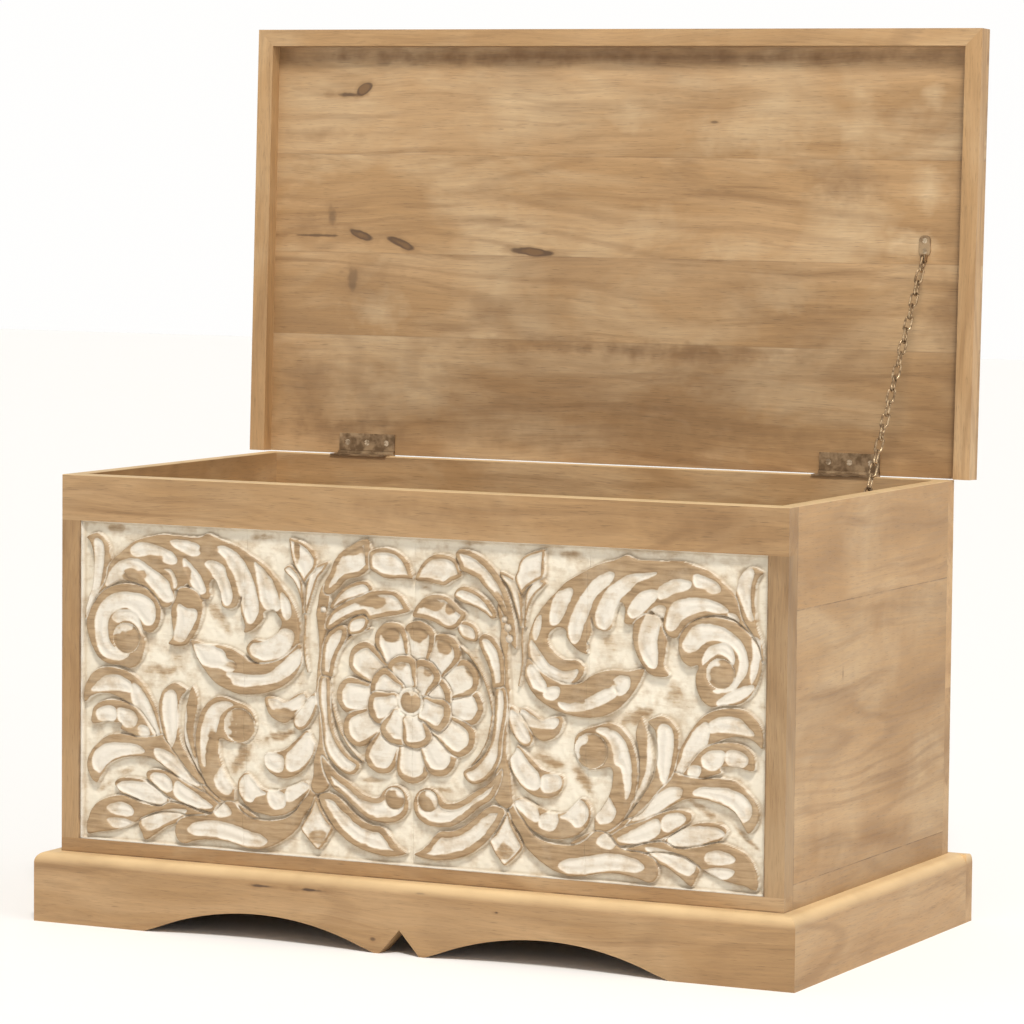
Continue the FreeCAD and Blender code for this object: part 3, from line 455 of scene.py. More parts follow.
# the left third: raised masses whose tops are rubbed to bare wood, then whitewashed hollows scooped in them
leftMasses = {
    "sideStem": [(-328, 240), (-316, 232), (-303, 210), (-285, 190), (-262, 168), (-235, 156), (-210, 146),
        (-195, 135), (-230, 134), (-262, 139), (-300, 146), (-335, 140), (-350, 130), (-330, 150),
        (-300, 165), (-290, 185), (-312, 213)],
    "cornerTear": [(-420, 443), (-414, 447), (-405, 449), (-397, 445), (-390, 436), (-388, 424),
        (-386, 412), (-390, 398), (-398, 386), (-408, 374), (-417, 352), (-420, 342), (-422, 352),
        (-419, 370), (-413, 386), (-411, 402), (-411, 425), (-415, 437)],
    "scrollTop": [(-420, 345), (-410, 372), (-396, 392), (-389, 415), (-375, 428), (-358, 441),
        (-340, 447), (-320, 451), (-295, 450), (-272, 450), (-260, 455), (-245, 449), (-225, 443),
        (-205, 433), (-188, 423), (-170, 406), (-155, 389), (-144, 368), (-141, 350), (-143, 333),
        (-152, 322), (-166, 312), (-184, 308), (-198, 311), (-208, 319), (-211, 328), (-206, 335),
        (-200, 338), (-188, 337), (-179, 341), (-170, 349), (-166, 358), (-170, 366), (-178, 371),
        (-187, 369), (-188, 361), (-196, 352), (-205, 346), (-214, 344), (-213, 354), (-218, 368),
        (-218, 384), (-222, 374), (-231, 370), (-242, 373), (-245, 388), (-252, 402), (-258, 396),
        (-257, 381), (-268, 379), (-280, 383), (-287, 396), (-296, 384), (-302, 388), (-303, 377),
        (-311, 368), (-321, 368), (-330, 379), (-345, 390), (-370, 395), (-390, 388), (-407, 372),
        (-417, 352)],
    "scrollCurl": [(-345, 339), (-336, 337), (-327, 342), (-321, 354), (-322, 369), (-331, 382),
        (-344, 390), (-364, 393), (-386, 389), (-403, 378), (-415, 360), (-420, 344), (-416, 326),
        (-406, 308), (-391, 299), (-374, 298), (-362, 295), (-350, 301), (-343, 314), (-342, 328)],
    "hangLeaf": [(-298, 390), (-303, 378), (-308, 366), (-307, 350), (-305, 337), (-312, 327), (-303, 324),
        (-290, 325), (-281, 332), (-273, 345), (-268, 358), (-266, 372), (-270, 384), (-284, 392)],
    "boatLeaf": [(-282, 333), (-277, 317), (-268, 303), (-255, 289), (-238, 279), (-218, 274), (-198, 275),
        (-176, 280), (-158, 289), (-146, 300), (-138, 314), (-139, 328), (-143, 336), (-156, 324),
        (-172, 315), (-190, 311), (-205, 313), (-214, 319), (-226, 325), (-242, 329), (-262, 329)],
    "archLeaf": [(-421, 253), (-423, 266), (-419, 279), (-409, 290), (-394, 296), (-374, 295), (-357, 289),
        (-343, 277), (-332, 262), (-323, 245), (-316, 228), (-316, 216), (-330, 216), (-338, 228),
        (-348, 243), (-362, 254), (-378, 262), (-396, 265), (-411, 261)],
    "lowFinger": [(-411, 229), (-413, 240), (-409, 250), (-398, 257), (-382, 259), (-364, 256),
        (-349, 248), (-338, 236), (-328, 222), (-326, 212), (-344, 214), (-360, 220), (-374, 225),
        (-374, 231), (-392, 232)],
    "broadFinger": [(-405, 161), (-414, 168), (-419, 182), (-415, 196), (-404, 208), (-390, 218),
        (-370, 220), (-348, 218), (-330, 220), (-316, 222), (-300, 206), (-284, 190), (-268, 168),
        (-262, 160), (-280, 163), (-298, 174), (-316, 185), (-334, 194), (-356, 194), (-376, 190),
        (-390, 182), (-398, 171)],
    "upFinger": [(-324, 256), (-322, 268), (-314, 278), (-303, 283), (-293, 280), (-286, 275), (-294, 266),
        (-297, 250), (-297, 232), (-293, 214), (-284, 199), (-272, 182), (-262, 168), (-280, 176),
        (-300, 200), (-316, 218), (-322, 238)],
    "thinUp": [(-279, 281), (-287, 262), (-291, 244), (-292, 226), (-287, 208), (-276, 190), (-262, 170),
        (-266, 184), (-273, 200), (-277, 218), (-276, 240), (-272, 262)],
    "lowCurl": [(-240, 271), (-254, 268), (-266, 256), (-273, 240), (-276, 220), (-274, 200), (-268, 182),
        (-257, 164), (-240, 152), (-226, 150), (-224, 166), (-234, 180), (-242, 196), (-245, 212),
        (-243, 222), (-230, 219), (-215, 218), (-203, 226), (-198, 240), (-200, 254), (-210, 262),
        (-222, 266)],
    "whiteFinger": [(-382, 162), (-376, 169), (-360, 171), (-344, 169), (-330, 162), (-316, 155),
        (-308, 146), (-322, 141), (-342, 143), (-360, 148), (-374, 152)],
    "tongueFinger": [(-340, 178), (-332, 182), (-318, 182), (-300, 176), (-284, 168), (-262, 160),
        (-246, 150), (-232, 140), (-250, 137), (-272, 140), (-296, 146), (-314, 153), (-328, 163),
        (-338, 170)],
    "cornerLeaf": [(-417, 101), (-419, 112), (-415, 126), (-405, 139), (-390, 146), (-372, 150),
        (-356, 146), (-340, 142), (-322, 140), (-308, 146), (-290, 144), (-270, 138), (-252, 134),
        (-290, 132), (-316, 134), (-334, 130), (-348, 122), (-364, 113), (-384, 107), (-402, 104)],
    "kneeLeaf": [(-350, 120), (-346, 108), (-340, 99), (-326, 108), (-312, 117), (-298, 122), (-280, 128),
        (-296, 134), (-318, 134), (-336, 129)],
    "baseStem": [(-298, 103), (-302, 115), (-296, 127), (-280, 133), (-256, 136), (-240, 150), (-226, 152),
        (-214, 142), (-200, 135), (-180, 134), (-160, 138), (-148, 146), (-138, 160), (-128, 176),
        (-120, 170), (-122, 158), (-134, 142), (-140, 130), (-152, 118), (-170, 107), (-190, 100),
        (-210, 100), (-232, 105), (-256, 106), (-276, 103), (-288, 99)],
    "innerHook": [(-209, 187), (-218, 181), (-221, 170), (-216, 156), (-206, 146), (-190, 140),
        (-168, 139), (-150, 146), (-138, 158), (-127, 174), (-132, 182), (-146, 178), (-160, 172),
        (-176, 168), (-190, 171), (-200, 180)],
    "middleHook": [(-185, 210), (-187, 199), (-180, 188), (-168, 183), (-152, 184), (-138, 192),
        (-127, 204), (-120, 220), (-126, 232), (-132, 240), (-146, 228), (-160, 216), (-174, 212)],
    "shortHook": [(-186, 269), (-183, 275), (-170, 273), (-160, 270), (-150, 276), (-136, 282),
        (-128, 270), (-136, 258), (-150, 250), (-160, 245), (-172, 248), (-182, 256)],
    "dropLeaf": [(-121, 283), (-132, 275), (-142, 262), (-149, 252), (-148, 242), (-141, 238), (-131, 243),
        (-122, 256), (-118, 270)],
    "wreathStem": [(-121, 372), (-118, 392), (-112, 405), (-104, 398), (-104, 385), (-108, 370),
        (-107, 355), (-111, 340), (-112, 322), (-111, 304), (-114, 285), (-112, 262), (-109, 240),
        (-108, 226), (-103, 205), (-100, 190), (-104, 176), (-116, 168), (-126, 174), (-124, 190),
        (-123, 206), (-119, 222), (-117, 240), (-118, 262), (-121, 285), (-120, 305), (-118, 325),
        (-118, 345), (-120, 358)],
}
leftScoops = {
    "cornerTear": [(-408, 440), (-402, 441), (-397, 435), (-396, 420), (-398, 404), (-401, 391),
        (-408, 378), (-415, 363), (-418, 353), (-418, 364), (-413, 379), (-410, 392), (-409, 408),
        (-408, 425)],
    "curlOuter": [(-341, 347), (-332, 348), (-328, 356), (-328, 365), (-334, 375), (-344, 380),
        (-357, 382), (-372, 382), (-386, 378), (-398, 369), (-405, 356), (-407, 342), (-406, 328),
        (-402, 316), (-394, 308), (-382, 305), (-371, 306), (-363, 311), (-372, 313), (-382, 318),
        (-389, 328), (-391, 340), (-388, 353), (-380, 362), (-368, 365), (-356, 362), (-348, 354)],
    "curlInner": [(-385, 353), (-375, 361), (-362, 362), (-352, 356), (-346, 346), (-345, 334),
        (-350, 342), (-358, 349), (-368, 351), (-378, 347)],
    "firstLeaf": [(-392, 389), (-391, 398), (-385, 408), (-377, 416), (-364, 421), (-349, 420),
        (-338, 414), (-325, 407), (-313, 399), (-308, 389), (-304, 380), (-309, 375), (-317, 375),
        (-326, 383), (-335, 392), (-343, 401), (-352, 409), (-362, 411), (-370, 407), (-364, 400),
        (-352, 396), (-372, 394)],
    "topLeaf": [(-361, 430), (-357, 436), (-346, 440), (-333, 439), (-321, 436), (-309, 432), (-302, 426),
        (-301, 420), (-309, 418), (-317, 420), (-322, 426), (-335, 428), (-347, 425), (-357, 425)],
    "tipSlit": [(-316, 411), (-309, 407), (-305, 399), (-303, 391), (-300, 396), (-303, 405), (-308, 411)],
    "topBand": [(-308, 443), (-298, 445), (-285, 444), (-274, 441), (-269, 436), (-272, 430), (-281, 429),
        (-293, 433), (-303, 438)],
    "fingerA": [(-291, 424), (-284, 420), (-275, 412), (-268, 403), (-263, 393), (-263, 387), (-269, 385),
        (-275, 388), (-280, 396), (-285, 405), (-290, 414)],
    "fingerB": [(-263, 420), (-256, 424), (-246, 422), (-239, 418), (-235, 408), (-231, 397), (-228, 386),
        (-230, 378), (-236, 375), (-241, 381), (-244, 392), (-249, 402), (-256, 412)],
    "fingerC": [(-249, 437), (-243, 441), (-233, 439), (-222, 433), (-213, 424), (-205, 412), (-199, 399),
        (-196, 386), (-194, 374), (-196, 364), (-202, 356), (-208, 357), (-212, 365), (-216, 378),
        (-220, 393), (-225, 407), (-232, 419), (-240, 430)],
    "fingerD": [(-199, 424), (-192, 420), (-183, 412), (-176, 404), (-171, 393), (-168, 380), (-168, 373),
        (-176, 371), (-185, 374), (-191, 383), (-194, 395), (-197, 409)],
    "fingerE": [(-165, 391), (-160, 388), (-154, 379), (-153, 368), (-158, 362), (-162, 366), (-165, 378)],
    "hookLeaf": [(-205, 327), (-202, 321), (-193, 317), (-180, 316), (-167, 320), (-157, 327), (-150, 337),
        (-149, 346), (-155, 351), (-164, 351), (-171, 345), (-178, 339), (-190, 334), (-200, 333)],
    "hangLeaf": [(-298, 372), (-299, 355), (-302, 342), (-303, 333), (-297, 330), (-290, 332), (-284, 340),
        (-278, 350), (-274, 361), (-276, 367), (-286, 368)],
    "boatLeft": [(-277, 327), (-262, 328), (-248, 326), (-239, 322), (-234, 314), (-226, 311), (-223, 305),
        (-230, 300), (-245, 303), (-262, 304), (-270, 311)],
    "boatRight": [(-234, 297), (-220, 298), (-200, 297), (-183, 299), (-172, 306), (-160, 316),
        (-148, 326), (-142, 330), (-140, 320), (-145, 309), (-157, 298), (-172, 291), (-192, 287),
        (-212, 284), (-225, 285), (-229, 291)],
    "archOuter": [(-411, 268), (-405, 276), (-394, 285), (-382, 287), (-368, 284), (-360, 278),
        (-360, 269), (-374, 270), (-392, 269)],
    "archInner": [(-357, 278), (-349, 275), (-340, 265), (-332, 251), (-327, 237), (-322, 224),
        (-327, 221), (-336, 231), (-346, 244), (-356, 255), (-359, 266)],
    "lowFingerA": [(-405, 242), (-400, 248), (-390, 251), (-381, 249), (-379, 241), (-382, 235),
        (-392, 233), (-402, 235)],
    "lowFingerB": [(-377, 248), (-367, 249), (-357, 246), (-351, 239), (-354, 231), (-362, 228),
        (-371, 231), (-377, 239)],
    "lowFingerC": [(-350, 229), (-343, 232), (-337, 229), (-335, 222), (-341, 219), (-348, 221)],
    "broadOuter": [(-402, 174), (-409, 180), (-410, 190), (-405, 199), (-394, 206), (-381, 209),
        (-366, 209), (-351, 208), (-342, 201), (-357, 198), (-376, 194), (-390, 186), (-397, 177)],
    "broadInner": [(-328, 205), (-318, 206), (-304, 200), (-291, 189), (-279, 177), (-270, 167),
        (-282, 170), (-297, 177), (-313, 187), (-326, 196)],
    "upFinger": [(-317, 262), (-313, 271), (-305, 274), (-300, 268), (-299, 250), (-299, 232), (-303, 214),
        (-308, 210), (-313, 225), (-317, 245)],
    "thinUp": [(-294, 258), (-290, 264), (-287, 250), (-287, 228), (-281, 208), (-272, 192), (-268, 184),
        (-280, 196), (-290, 214), (-294, 236)],
    "lowCurlOuter": [(-258, 254), (-248, 262), (-236, 265), (-226, 262), (-235, 257), (-242, 250),
        (-246, 240), (-249, 228), (-256, 222), (-260, 205), (-262, 190), (-267, 198), (-268, 220),
        (-265, 240)],
    "lowCurlStem": [(-245, 186), (-240, 190), (-234, 180), (-227, 168), (-232, 160), (-244, 164),
        (-250, 175)],
    "whiteFinger": [(-378, 160), (-370, 165), (-355, 166), (-340, 165), (-328, 160), (-316, 154),
        (-313, 147), (-324, 143), (-340, 144), (-358, 150), (-372, 155)],
    "tongueFingerA": [(-333, 174), (-326, 178), (-314, 177), (-306, 170), (-305, 161), (-312, 157),
        (-322, 163), (-331, 169)],
    "tongueFingerB": [(-300, 170), (-290, 166), (-278, 160), (-264, 152), (-252, 145), (-262, 142),
        (-280, 144), (-296, 150), (-303, 158)],
    "cornerLeafA": [(-391, 132), (-386, 138), (-372, 141), (-360, 138), (-356, 131), (-362, 126),
        (-378, 127)],
    "cornerLeafB": [(-390, 120), (-376, 123), (-362, 121), (-352, 117), (-366, 112), (-382, 112)],
    "kneeLeaf": [(-345, 121), (-338, 128), (-322, 134), (-302, 138), (-286, 138), (-296, 130), (-312, 122),
        (-326, 115), (-338, 112)],
    "stemPad": [(-250, 139), (-247, 146), (-240, 150), (-232, 146), (-228, 139), (-234, 135), (-244, 134)],
    "baseStemA": [(-285, 116), (-278, 123), (-262, 127), (-240, 128), (-220, 124), (-204, 120),
        (-190, 117), (-182, 110), (-192, 104), (-212, 104), (-234, 109), (-258, 111), (-276, 111)],
    "innerHookA": [(-207, 184), (-215, 178), (-217, 167), (-211, 157), (-202, 154), (-196, 160),
        (-184, 164), (-190, 168), (-200, 177)],
    "innerHookB": [(-178, 168), (-168, 168), (-160, 164), (-159, 152), (-170, 148), (-178, 152),
        (-181, 161)],
    "innerHookC": [(-156, 172), (-148, 178), (-138, 180), (-128, 176), (-136, 168), (-150, 158),
        (-158, 160)],
    "middleHookA": [(-184, 207), (-184, 198), (-178, 192), (-167, 190), (-161, 194), (-161, 206),
        (-168, 210), (-178, 210)],
    "middleHookB": [(-157, 209), (-157, 195), (-148, 192), (-136, 199), (-126, 212), (-123, 226),
        (-130, 236), (-136, 232), (-146, 220)],
    "shortHook": [(-180, 271), (-170, 271), (-161, 268), (-148, 273), (-136, 279), (-134, 268),
        (-146, 262), (-160, 260), (-176, 262)],
    "dropLeaf": [(-124, 278), (-134, 270), (-143, 256), (-146, 247), (-141, 243), (-132, 248), (-125, 260),
        (-121, 272)],
}
# the right's upper scroll is not quite a mirror image: its own hollows
rightScoops = {
    "cornerTear": [(390, 442), (397, 447), (406, 447), (409, 442), (406, 430), (405, 416), (407, 400),
        (409, 392), (404, 392), (398, 405), (392, 418), (388, 429)],
    "fingerD": [(177, 409), (185, 413), (194, 415), (195, 409), (191, 400), (185, 386), (178, 376),
        (170, 375), (169, 385), (172, 399)],
    "fingerC": [(239, 435), (245, 434), (242, 425), (231, 415), (222, 407), (215, 390), (209, 375),
        (205, 361), (199, 355), (193, 360), (192, 374), (197, 389), (205, 404), (216, 420), (228, 430)],
    "fingerB": [(252, 427), (264, 433), (282, 436), (295, 437), (288, 432), (273, 426), (264, 417),
        (252, 406), (247, 392), (241, 378), (235, 373), (227, 376), (224, 388), (229, 402), (237, 416)],
    "fingerA": [(276, 414), (288, 418), (297, 417), (295, 409), (285, 399), (273, 389), (266, 387),
        (262, 393), (267, 404)],
    "topLeaf": [(298, 419), (308, 427), (320, 431), (335, 429), (332, 422), (314, 415), (300, 409)],
    "topBand": [(340, 436), (352, 436), (367, 429), (370, 421), (361, 418), (352, 423), (341, 426)],
    "hangLeaf": [(300, 402), (306, 399), (304, 389), (299, 378), (297, 365), (298, 346), (295, 335),
        (287, 336), (280, 345), (275, 358), (276, 372), (281, 385), (291, 398)],
    "firstLeaf": [(323, 409), (341, 412), (358, 411), (373, 406), (379, 400), (370, 398), (353, 399),
        (338, 395), (326, 388), (318, 378), (310, 376), (307, 381), (309, 392), (314, 403)],
    "curlOuter": [(330, 368), (338, 380), (353, 385), (370, 383), (385, 376), (397, 365), (403, 349),
        (402, 336), (394, 324), (386, 316), (371, 312), (364, 314), (380, 318), (390, 329), (394, 343),
        (391, 356), (379, 366), (365, 368), (353, 365), (342, 356), (333, 354), (327, 360)],
    "curlInner": [(352, 349), (359, 360), (374, 365), (385, 359), (388, 348), (385, 343), (380, 350),
        (368, 354), (356, 346), (351, 341)],
    "boatLeft": [(147, 329), (156, 321), (165, 308), (162, 301), (151, 304), (144, 315), (142, 324)],
    "boatFoot": [(167, 305), (180, 306), (179, 296), (170, 292), (162, 297)],
    "boatRight": [(180, 290), (194, 289), (212, 294), (230, 304), (245, 310), (249, 302), (236, 293),
        (215, 284), (197, 281), (185, 283)],
    "boatTip": [(245, 315), (253, 323), (264, 322), (264, 311), (255, 302), (248, 305)],
    "hookLeaf": [(146, 356), (151, 351), (159, 341), (169, 330), (187, 324), (202, 327), (201, 320),
        (191, 311), (179, 312), (163, 319), (153, 329), (146, 343)],
    "fingerE": [(151, 376), (158, 384), (157, 368), (152, 357), (148, 362)],
    "stemTop": [(408, 372), (416, 371), (417, 358), (415, 339), (408, 324), (407, 339), (410, 357)],
    "stemFoot": [(371, 304), (386, 314), (408, 322), (409, 317), (395, 306), (377, 300), (369, 299)],
    "tipSlit": [(380, 397), (388, 396), (392, 390), (385, 390)],
}
# leaves round the rosette: width of the bare rim, then the outline
centreLeft = {
    "tipDiamond": (2.5, [(-120, 166), (-126, 151), (-134, 138), (-139, 128), (-133, 119), (-125, 111),
        (-116, 105), (-108, 113), (-101, 123), (-97, 133), (-105, 141), (-112, 152)]),
    "tailLeaf": (7, [(-117, 166), (-108, 171), (-97, 170), (-86, 163), (-76, 154), (-64, 145), (-50, 139),
        (-37, 138), (-29, 132), (-22, 123), (-13, 115), (-4, 110), (-13, 106), (-28, 104), (-43, 105),
        (-57, 108), (-71, 113), (-84, 121), (-95, 130), (-103, 140), (-111, 152)]),
    "tailCurl": (6, [(-112, 212), (-103, 203), (-92, 193), (-80, 186), (-67, 177), (-55, 171), (-42, 170),
        (-35, 178), (-27, 184), (-17, 185), (-8, 180), (-3, 170), (-3, 158), (-9, 149), (-20, 143),
        (-35, 141), (-50, 143), (-62, 149), (-74, 158), (-86, 168), (-99, 176), (-108, 190), (-112, 202)]),
    "wreathLow": (4, [(-116, 300), (-109, 304), (-103, 300), (-102, 280), (-101, 262), (-99, 248),
        (-95, 236), (-87, 224), (-77, 214), (-67, 209), (-64, 204), (-68, 196), (-77, 192), (-88, 195),
        (-98, 203), (-106, 213), (-111, 226), (-112, 240), (-114, 255), (-117, 270), (-118, 285)]),
    "outerSepal": (2.6, [(-163, 420), (-154, 424), (-143, 415), (-138, 404), (-137, 387), (-136, 372),
        (-139, 369), (-141, 383), (-145, 396), (-152, 407), (-160, 414)]),
    "innerSepal": (2.6, [(-121, 425), (-106, 430), (-110, 420), (-118, 411), (-124, 395), (-129, 380),
        (-133, 369), (-136, 376), (-135, 395), (-132, 410), (-128, 420)]),
    "wreathHigh": (5, [(-114, 305), (-114, 322), (-112, 338), (-106, 350), (-97, 358), (-87, 360),
        (-81, 353), (-84, 342), (-91, 330), (-96, 316), (-99, 302), (-106, 301)]),
    "wreathBud": (3.5, [(-82, 358), (-77, 368), (-64, 373), (-55, 370), (-56, 360), (-62, 353), (-71, 350),
        (-79, 350)]),
    "wreathArch": (4, [(-104, 379), (-98, 390), (-89, 400), (-77, 407), (-63, 411), (-54, 408), (-50, 400),
        (-57, 394), (-68, 390), (-80, 386), (-90, 381), (-97, 376)]),
    "tulip": (3, [(-156, 454), (-148, 453), (-138, 450), (-128, 443), (-121, 433), (-122, 422),
        (-130, 412), (-136, 405), (-142, 412), (-150, 424), (-154, 437)]),
    "crestLeaf": (6, [(-112, 398), (-110, 408), (-104, 418), (-100, 430), (-92, 441), (-80, 449),
        (-66, 456), (-56, 458), (-53, 448), (-53, 436), (-52, 427), (-58, 420), (-68, 414), (-78, 412),
        (-85, 408), (-93, 400), (-101, 394), (-108, 393)]),
    "crestBud": (4.5, [(-55, 440), (-50, 446), (-38, 449), (-26, 448), (-15, 443), (-7, 435), (-2, 424),
        (0, 415), (-12, 415), (-25, 414), (-36, 415), (-46, 419), (-54, 425)]),
    "archLeaf": (5, [(-110, 358), (-107, 368), (-98, 378), (-86, 385), (-76, 390), (-64, 394), (-55, 399),
        (-46, 401), (-33, 402), (-20, 400), (-11, 393), (-5, 384), (-2, 380), (-12, 376), (-26, 373),
        (-40, 370), (-54, 367), (-60, 373), (-70, 371), (-82, 366), (-92, 360), (-100, 355), (-107, 353)]),
}
centreRight = {
    "tulip": (3, [(128, 432), (131, 442), (139, 450), (150, 454), (161, 456), (161, 440), (160, 426),
        (151, 420), (141, 413), (134, 405), (128, 414), (125, 424)]),
    "crestBud": (4.5, [(3, 414), (6, 426), (14, 437), (25, 444), (37, 445), (48, 443), (56, 437),
        (60, 428), (60, 421), (50, 416), (40, 410), (30, 411), (18, 413)]),
    "archLeaf": (5, [(0, 374), (3, 385), (12, 395), (24, 400), (37, 400), (49, 395), (58, 387), (66, 381),
        (62, 372), (55, 364), (46, 361), (36, 364), (26, 369), (13, 372)]),
    "crestLeaf": (6, [(52, 446), (57, 452), (70, 451), (84, 445), (96, 436), (107, 424), (115, 410),
        (121, 394), (126, 377), (128, 360), (128, 345), (121, 350), (117, 362), (113, 378), (106, 392),
        (97, 402), (88, 410), (80, 419), (68, 424), (59, 428), (55, 437)]),
}
# open ridges: width at the start and end, then the line
ridges = [
    (3.5, 3, [(-53, 358), (-78, 347), (-95, 324), (-102, 298), (-99, 268), (-88, 239), (-70, 216),
        (-49, 204)]),
    (3.5, 3, [(59, 344), (78, 327), (93, 300), (99, 273), (94, 245), (83, 224), (66, 204)]),
    (4, 3, [(-135, 372), (-135, 354), (-136, 335), (-134, 320), (-131, 305)]),
    (4, 3, [(135, 372), (135, 354), (136, 335), (134, 320), (131, 305)]),
]
# domes: centre x and z, radius, how bare, direction of the part that kept its whitewash
bosses = [(-367, 330, 18, 0.9, 110), (371, 332, 17, 0.9, 150), (-219, 239, 20, 0.9, 175),
          (219, 239, 20, 0.9, 150), (-21, 170, 13, 0.9, 60), (20, 170, 13, 0.9, 30),
          (-112, 376, 4, 0.0, 0), (113, 377, 4, 0.2, 0), (117, 368, 5, 0.2, 0), (119, 356, 5, 0.2, 0),
          (-3, 279, 17, 0.0, 0), (-3, 279, 13, 1.3, 90)]
# scuffs in the ground: centre, half length, half width, turn in degrees, strength
scuffs = [(-380, 455, 22, 5, 0, 0.55), (-191, 453, 22, 4, 0, 0.45), (-320, 296, 25, 7, 0, 0.55),
          (-247, 359, 26, 9, -55, 0.45), (-366, 178, 14, 4, 20, 0.5), (-218, 203, 22, 11, 55, 0.6),
          (-166, 231, 28, 8, 15, 0.6), (-286, 258, 5, 22, 0, 0.45), (-401, 155, 16, 4, 35, 0.35),
          (189, 452, 24, 6, 0, 0.5), (241, 356, 20, 16, 30, 0.4), (275, 281, 34, 9, 30, 0.55),
          (316, 308, 12, 16, 0, 0.4), (165, 225, 26, 8, -20, 0.6), (210, 204, 26, 9, -55, 0.6),
          (278, 243, 5, 24, 0, 0.45), (349, 185, 34, 6, -32, 0.55), (400, 158, 26, 4, -40, 0.5),
          (-50, 188, 22, 4, 0, 0.5), (37, 183, 20, 4, 0, 0.5), (80, 459, 26, 4, 0, 0.45),
          (373, 453, 18, 5, 0, 0.3), (-90, 330, 10, 6, 0, 0.2)]
# rubbed places: centre, half sizes, strength
rubbed = [(-355, 401, 16, 8, 0.9), (-330, 421, 12, 6, 0.9), (-260, 436, 12, 12, 0.8),
          (-293, 405, 10, 12, 0.8), (-205, 306, 30, 6, 0.8), (-248, 292, 14, 8, 0.7),
          (-78, 445, 24, 7, 0.9), (-53, 388, 20, 8, 0.8), (-146, 440, 4, 14, 0.8), (-162, 255, 20, 8, 0.8),
          (-254, 205, 8, 30, 0.8), (-362, 224, 13, 4, 0.8), (22, 389, 15, 7, 0.9), (48, 386, 7, 7, 0.8),
          (101, 395, 13, 10, 0.8), (229, 315, 19, 10, 0.8), (200, 298, 15, 8, 0.7), (297, 447, 48, 8, 0.9),
          (-116, 120, 12, 10, 0.6), (116, 120, 12, 10, 0.6), (8, 357, 13, 11, 0.75),
          (-27, 354, 13, 11, 0.75), (41, 345, 11, 11, 0.7), (21, 317, 7, 8, 0.5), (-15, 321, 8, 8, 0.5),
          (72, 318, 8, 8, 0.5)]
# radii of the petals' tips and feet, their widths, rims and directions in degrees; the shape gives half
# the width, as a share, from foot to tip
rosette = {"centre": (-3, 279), "outerTips": 92, "outerFoot": 36, "outerWide": 41, "outerRim": 6.5,
           "outerTurns": (359, 24.5, 54, 82, 109, 143, 178, 208, 241, 273, 302, 329),
           "innerTips": 53, "innerFoot": 14, "innerWide": 37, "innerRim": 7,
           "innerTurns": (16, 58, 105, 152, 193, 242, 284, 341),
           "shape": [(0.0, 0.30), (0.3, 0.40), (0.6, 0.50), (0.8, 0.47), (0.93, 0.30), (1.0, 0.0)]}


def mirrored(points):
    return [(-x, z) for x, z in reversed(points)]


def petal(turn, foot, tip, wide):
    line = [(foot + (tip - foot) * t, wide * w) for t, w in rosette["shape"]]
    line += [(r, -w) for r, w in reversed(line[:-1])]
    c, s = math.cos(math.radians(turn)), math.sin(math.radians(turn))
    cx, cz = rosette["centre"]
    return [(cx + r * c - w * s, cz + r * s + w * c) for r, w in line]


def roundedLine(points, closed=True, parts=4):  # a smooth curve through the points
    p = np.array(points, float)
    if not closed:
        p = np.vstack([2 * p[:1] - p[1:2], p, 2 * p[-1:] - p[-2:-1]])
    one, two, three, four = np.roll(p, 1, 0), p, np.roll(p, -1, 0), np.roll(p, -2, 0)
    t = (np.arange(parts) / parts)[None, :, None]
    curve = 0.5 * (2 * two[:, None] + (three - one)[:, None] * t
                   + (2 * one - 5 * two + 4 * three - four)[:, None] * t ** 2
                   + (3 * two - one - 3 * three + four)[:, None] * t ** 3)
    return curve.reshape(-1, 2) if closed else np.vstack([curve[1:-2].reshape(-1, 2), p[-2]])


def softNoise(rows, columns, size, seed):
    rng = np.random.default_rng(seed)
    r, c = np.arange(rows) / size, np.arange(columns) / size
    grid = rng.random((int(r[-1]) + 3, int(c[-1]) + 3)) - 0.5
    ri, ci = r.astype(int), c.astype(int)
    rf, cf = r - ri, c - ci
    rf, cf = (rf * rf * (3 - 2 * rf))[:, None], cf * cf * (3 - 2 * cf)
    lines = grid[ri] * (1 - rf) + grid[ri + 1] * rf
    return lines[:, ci] * (1 - cf) + lines[:, ci + 1] * cf


def rippled(field, waves):
    for strength, size, seed in waves:
        field = field + strength * softNoise(*field.shape, size, seed)
    return field


def ease(value):
    value = np.clip(value, 0, 1)
    return value * value * (3 - 2 * value)


def smoothed(field, reach):
    wide = 2 * reach + 1
    for axis in (0, 1):
        padded = np.pad(field, [(reach, reach) if a == axis else (0, 0) for a in (0, 1)], "edge")
        size = field.shape[axis]
        field = sum(np.take(padded, range(k, k + size), axis) for k in range(wide)) / wide
    return field


def shareAlong(x, z, start, run):  # how far along a stretch each place is, from 0 to 1
    (ax, az), (dx, dz) = start, run
    return np.clip(((x - ax) * dx + (z - az) * dz) / (dx * dx + dz * dz + 1e-9), 0, 1)


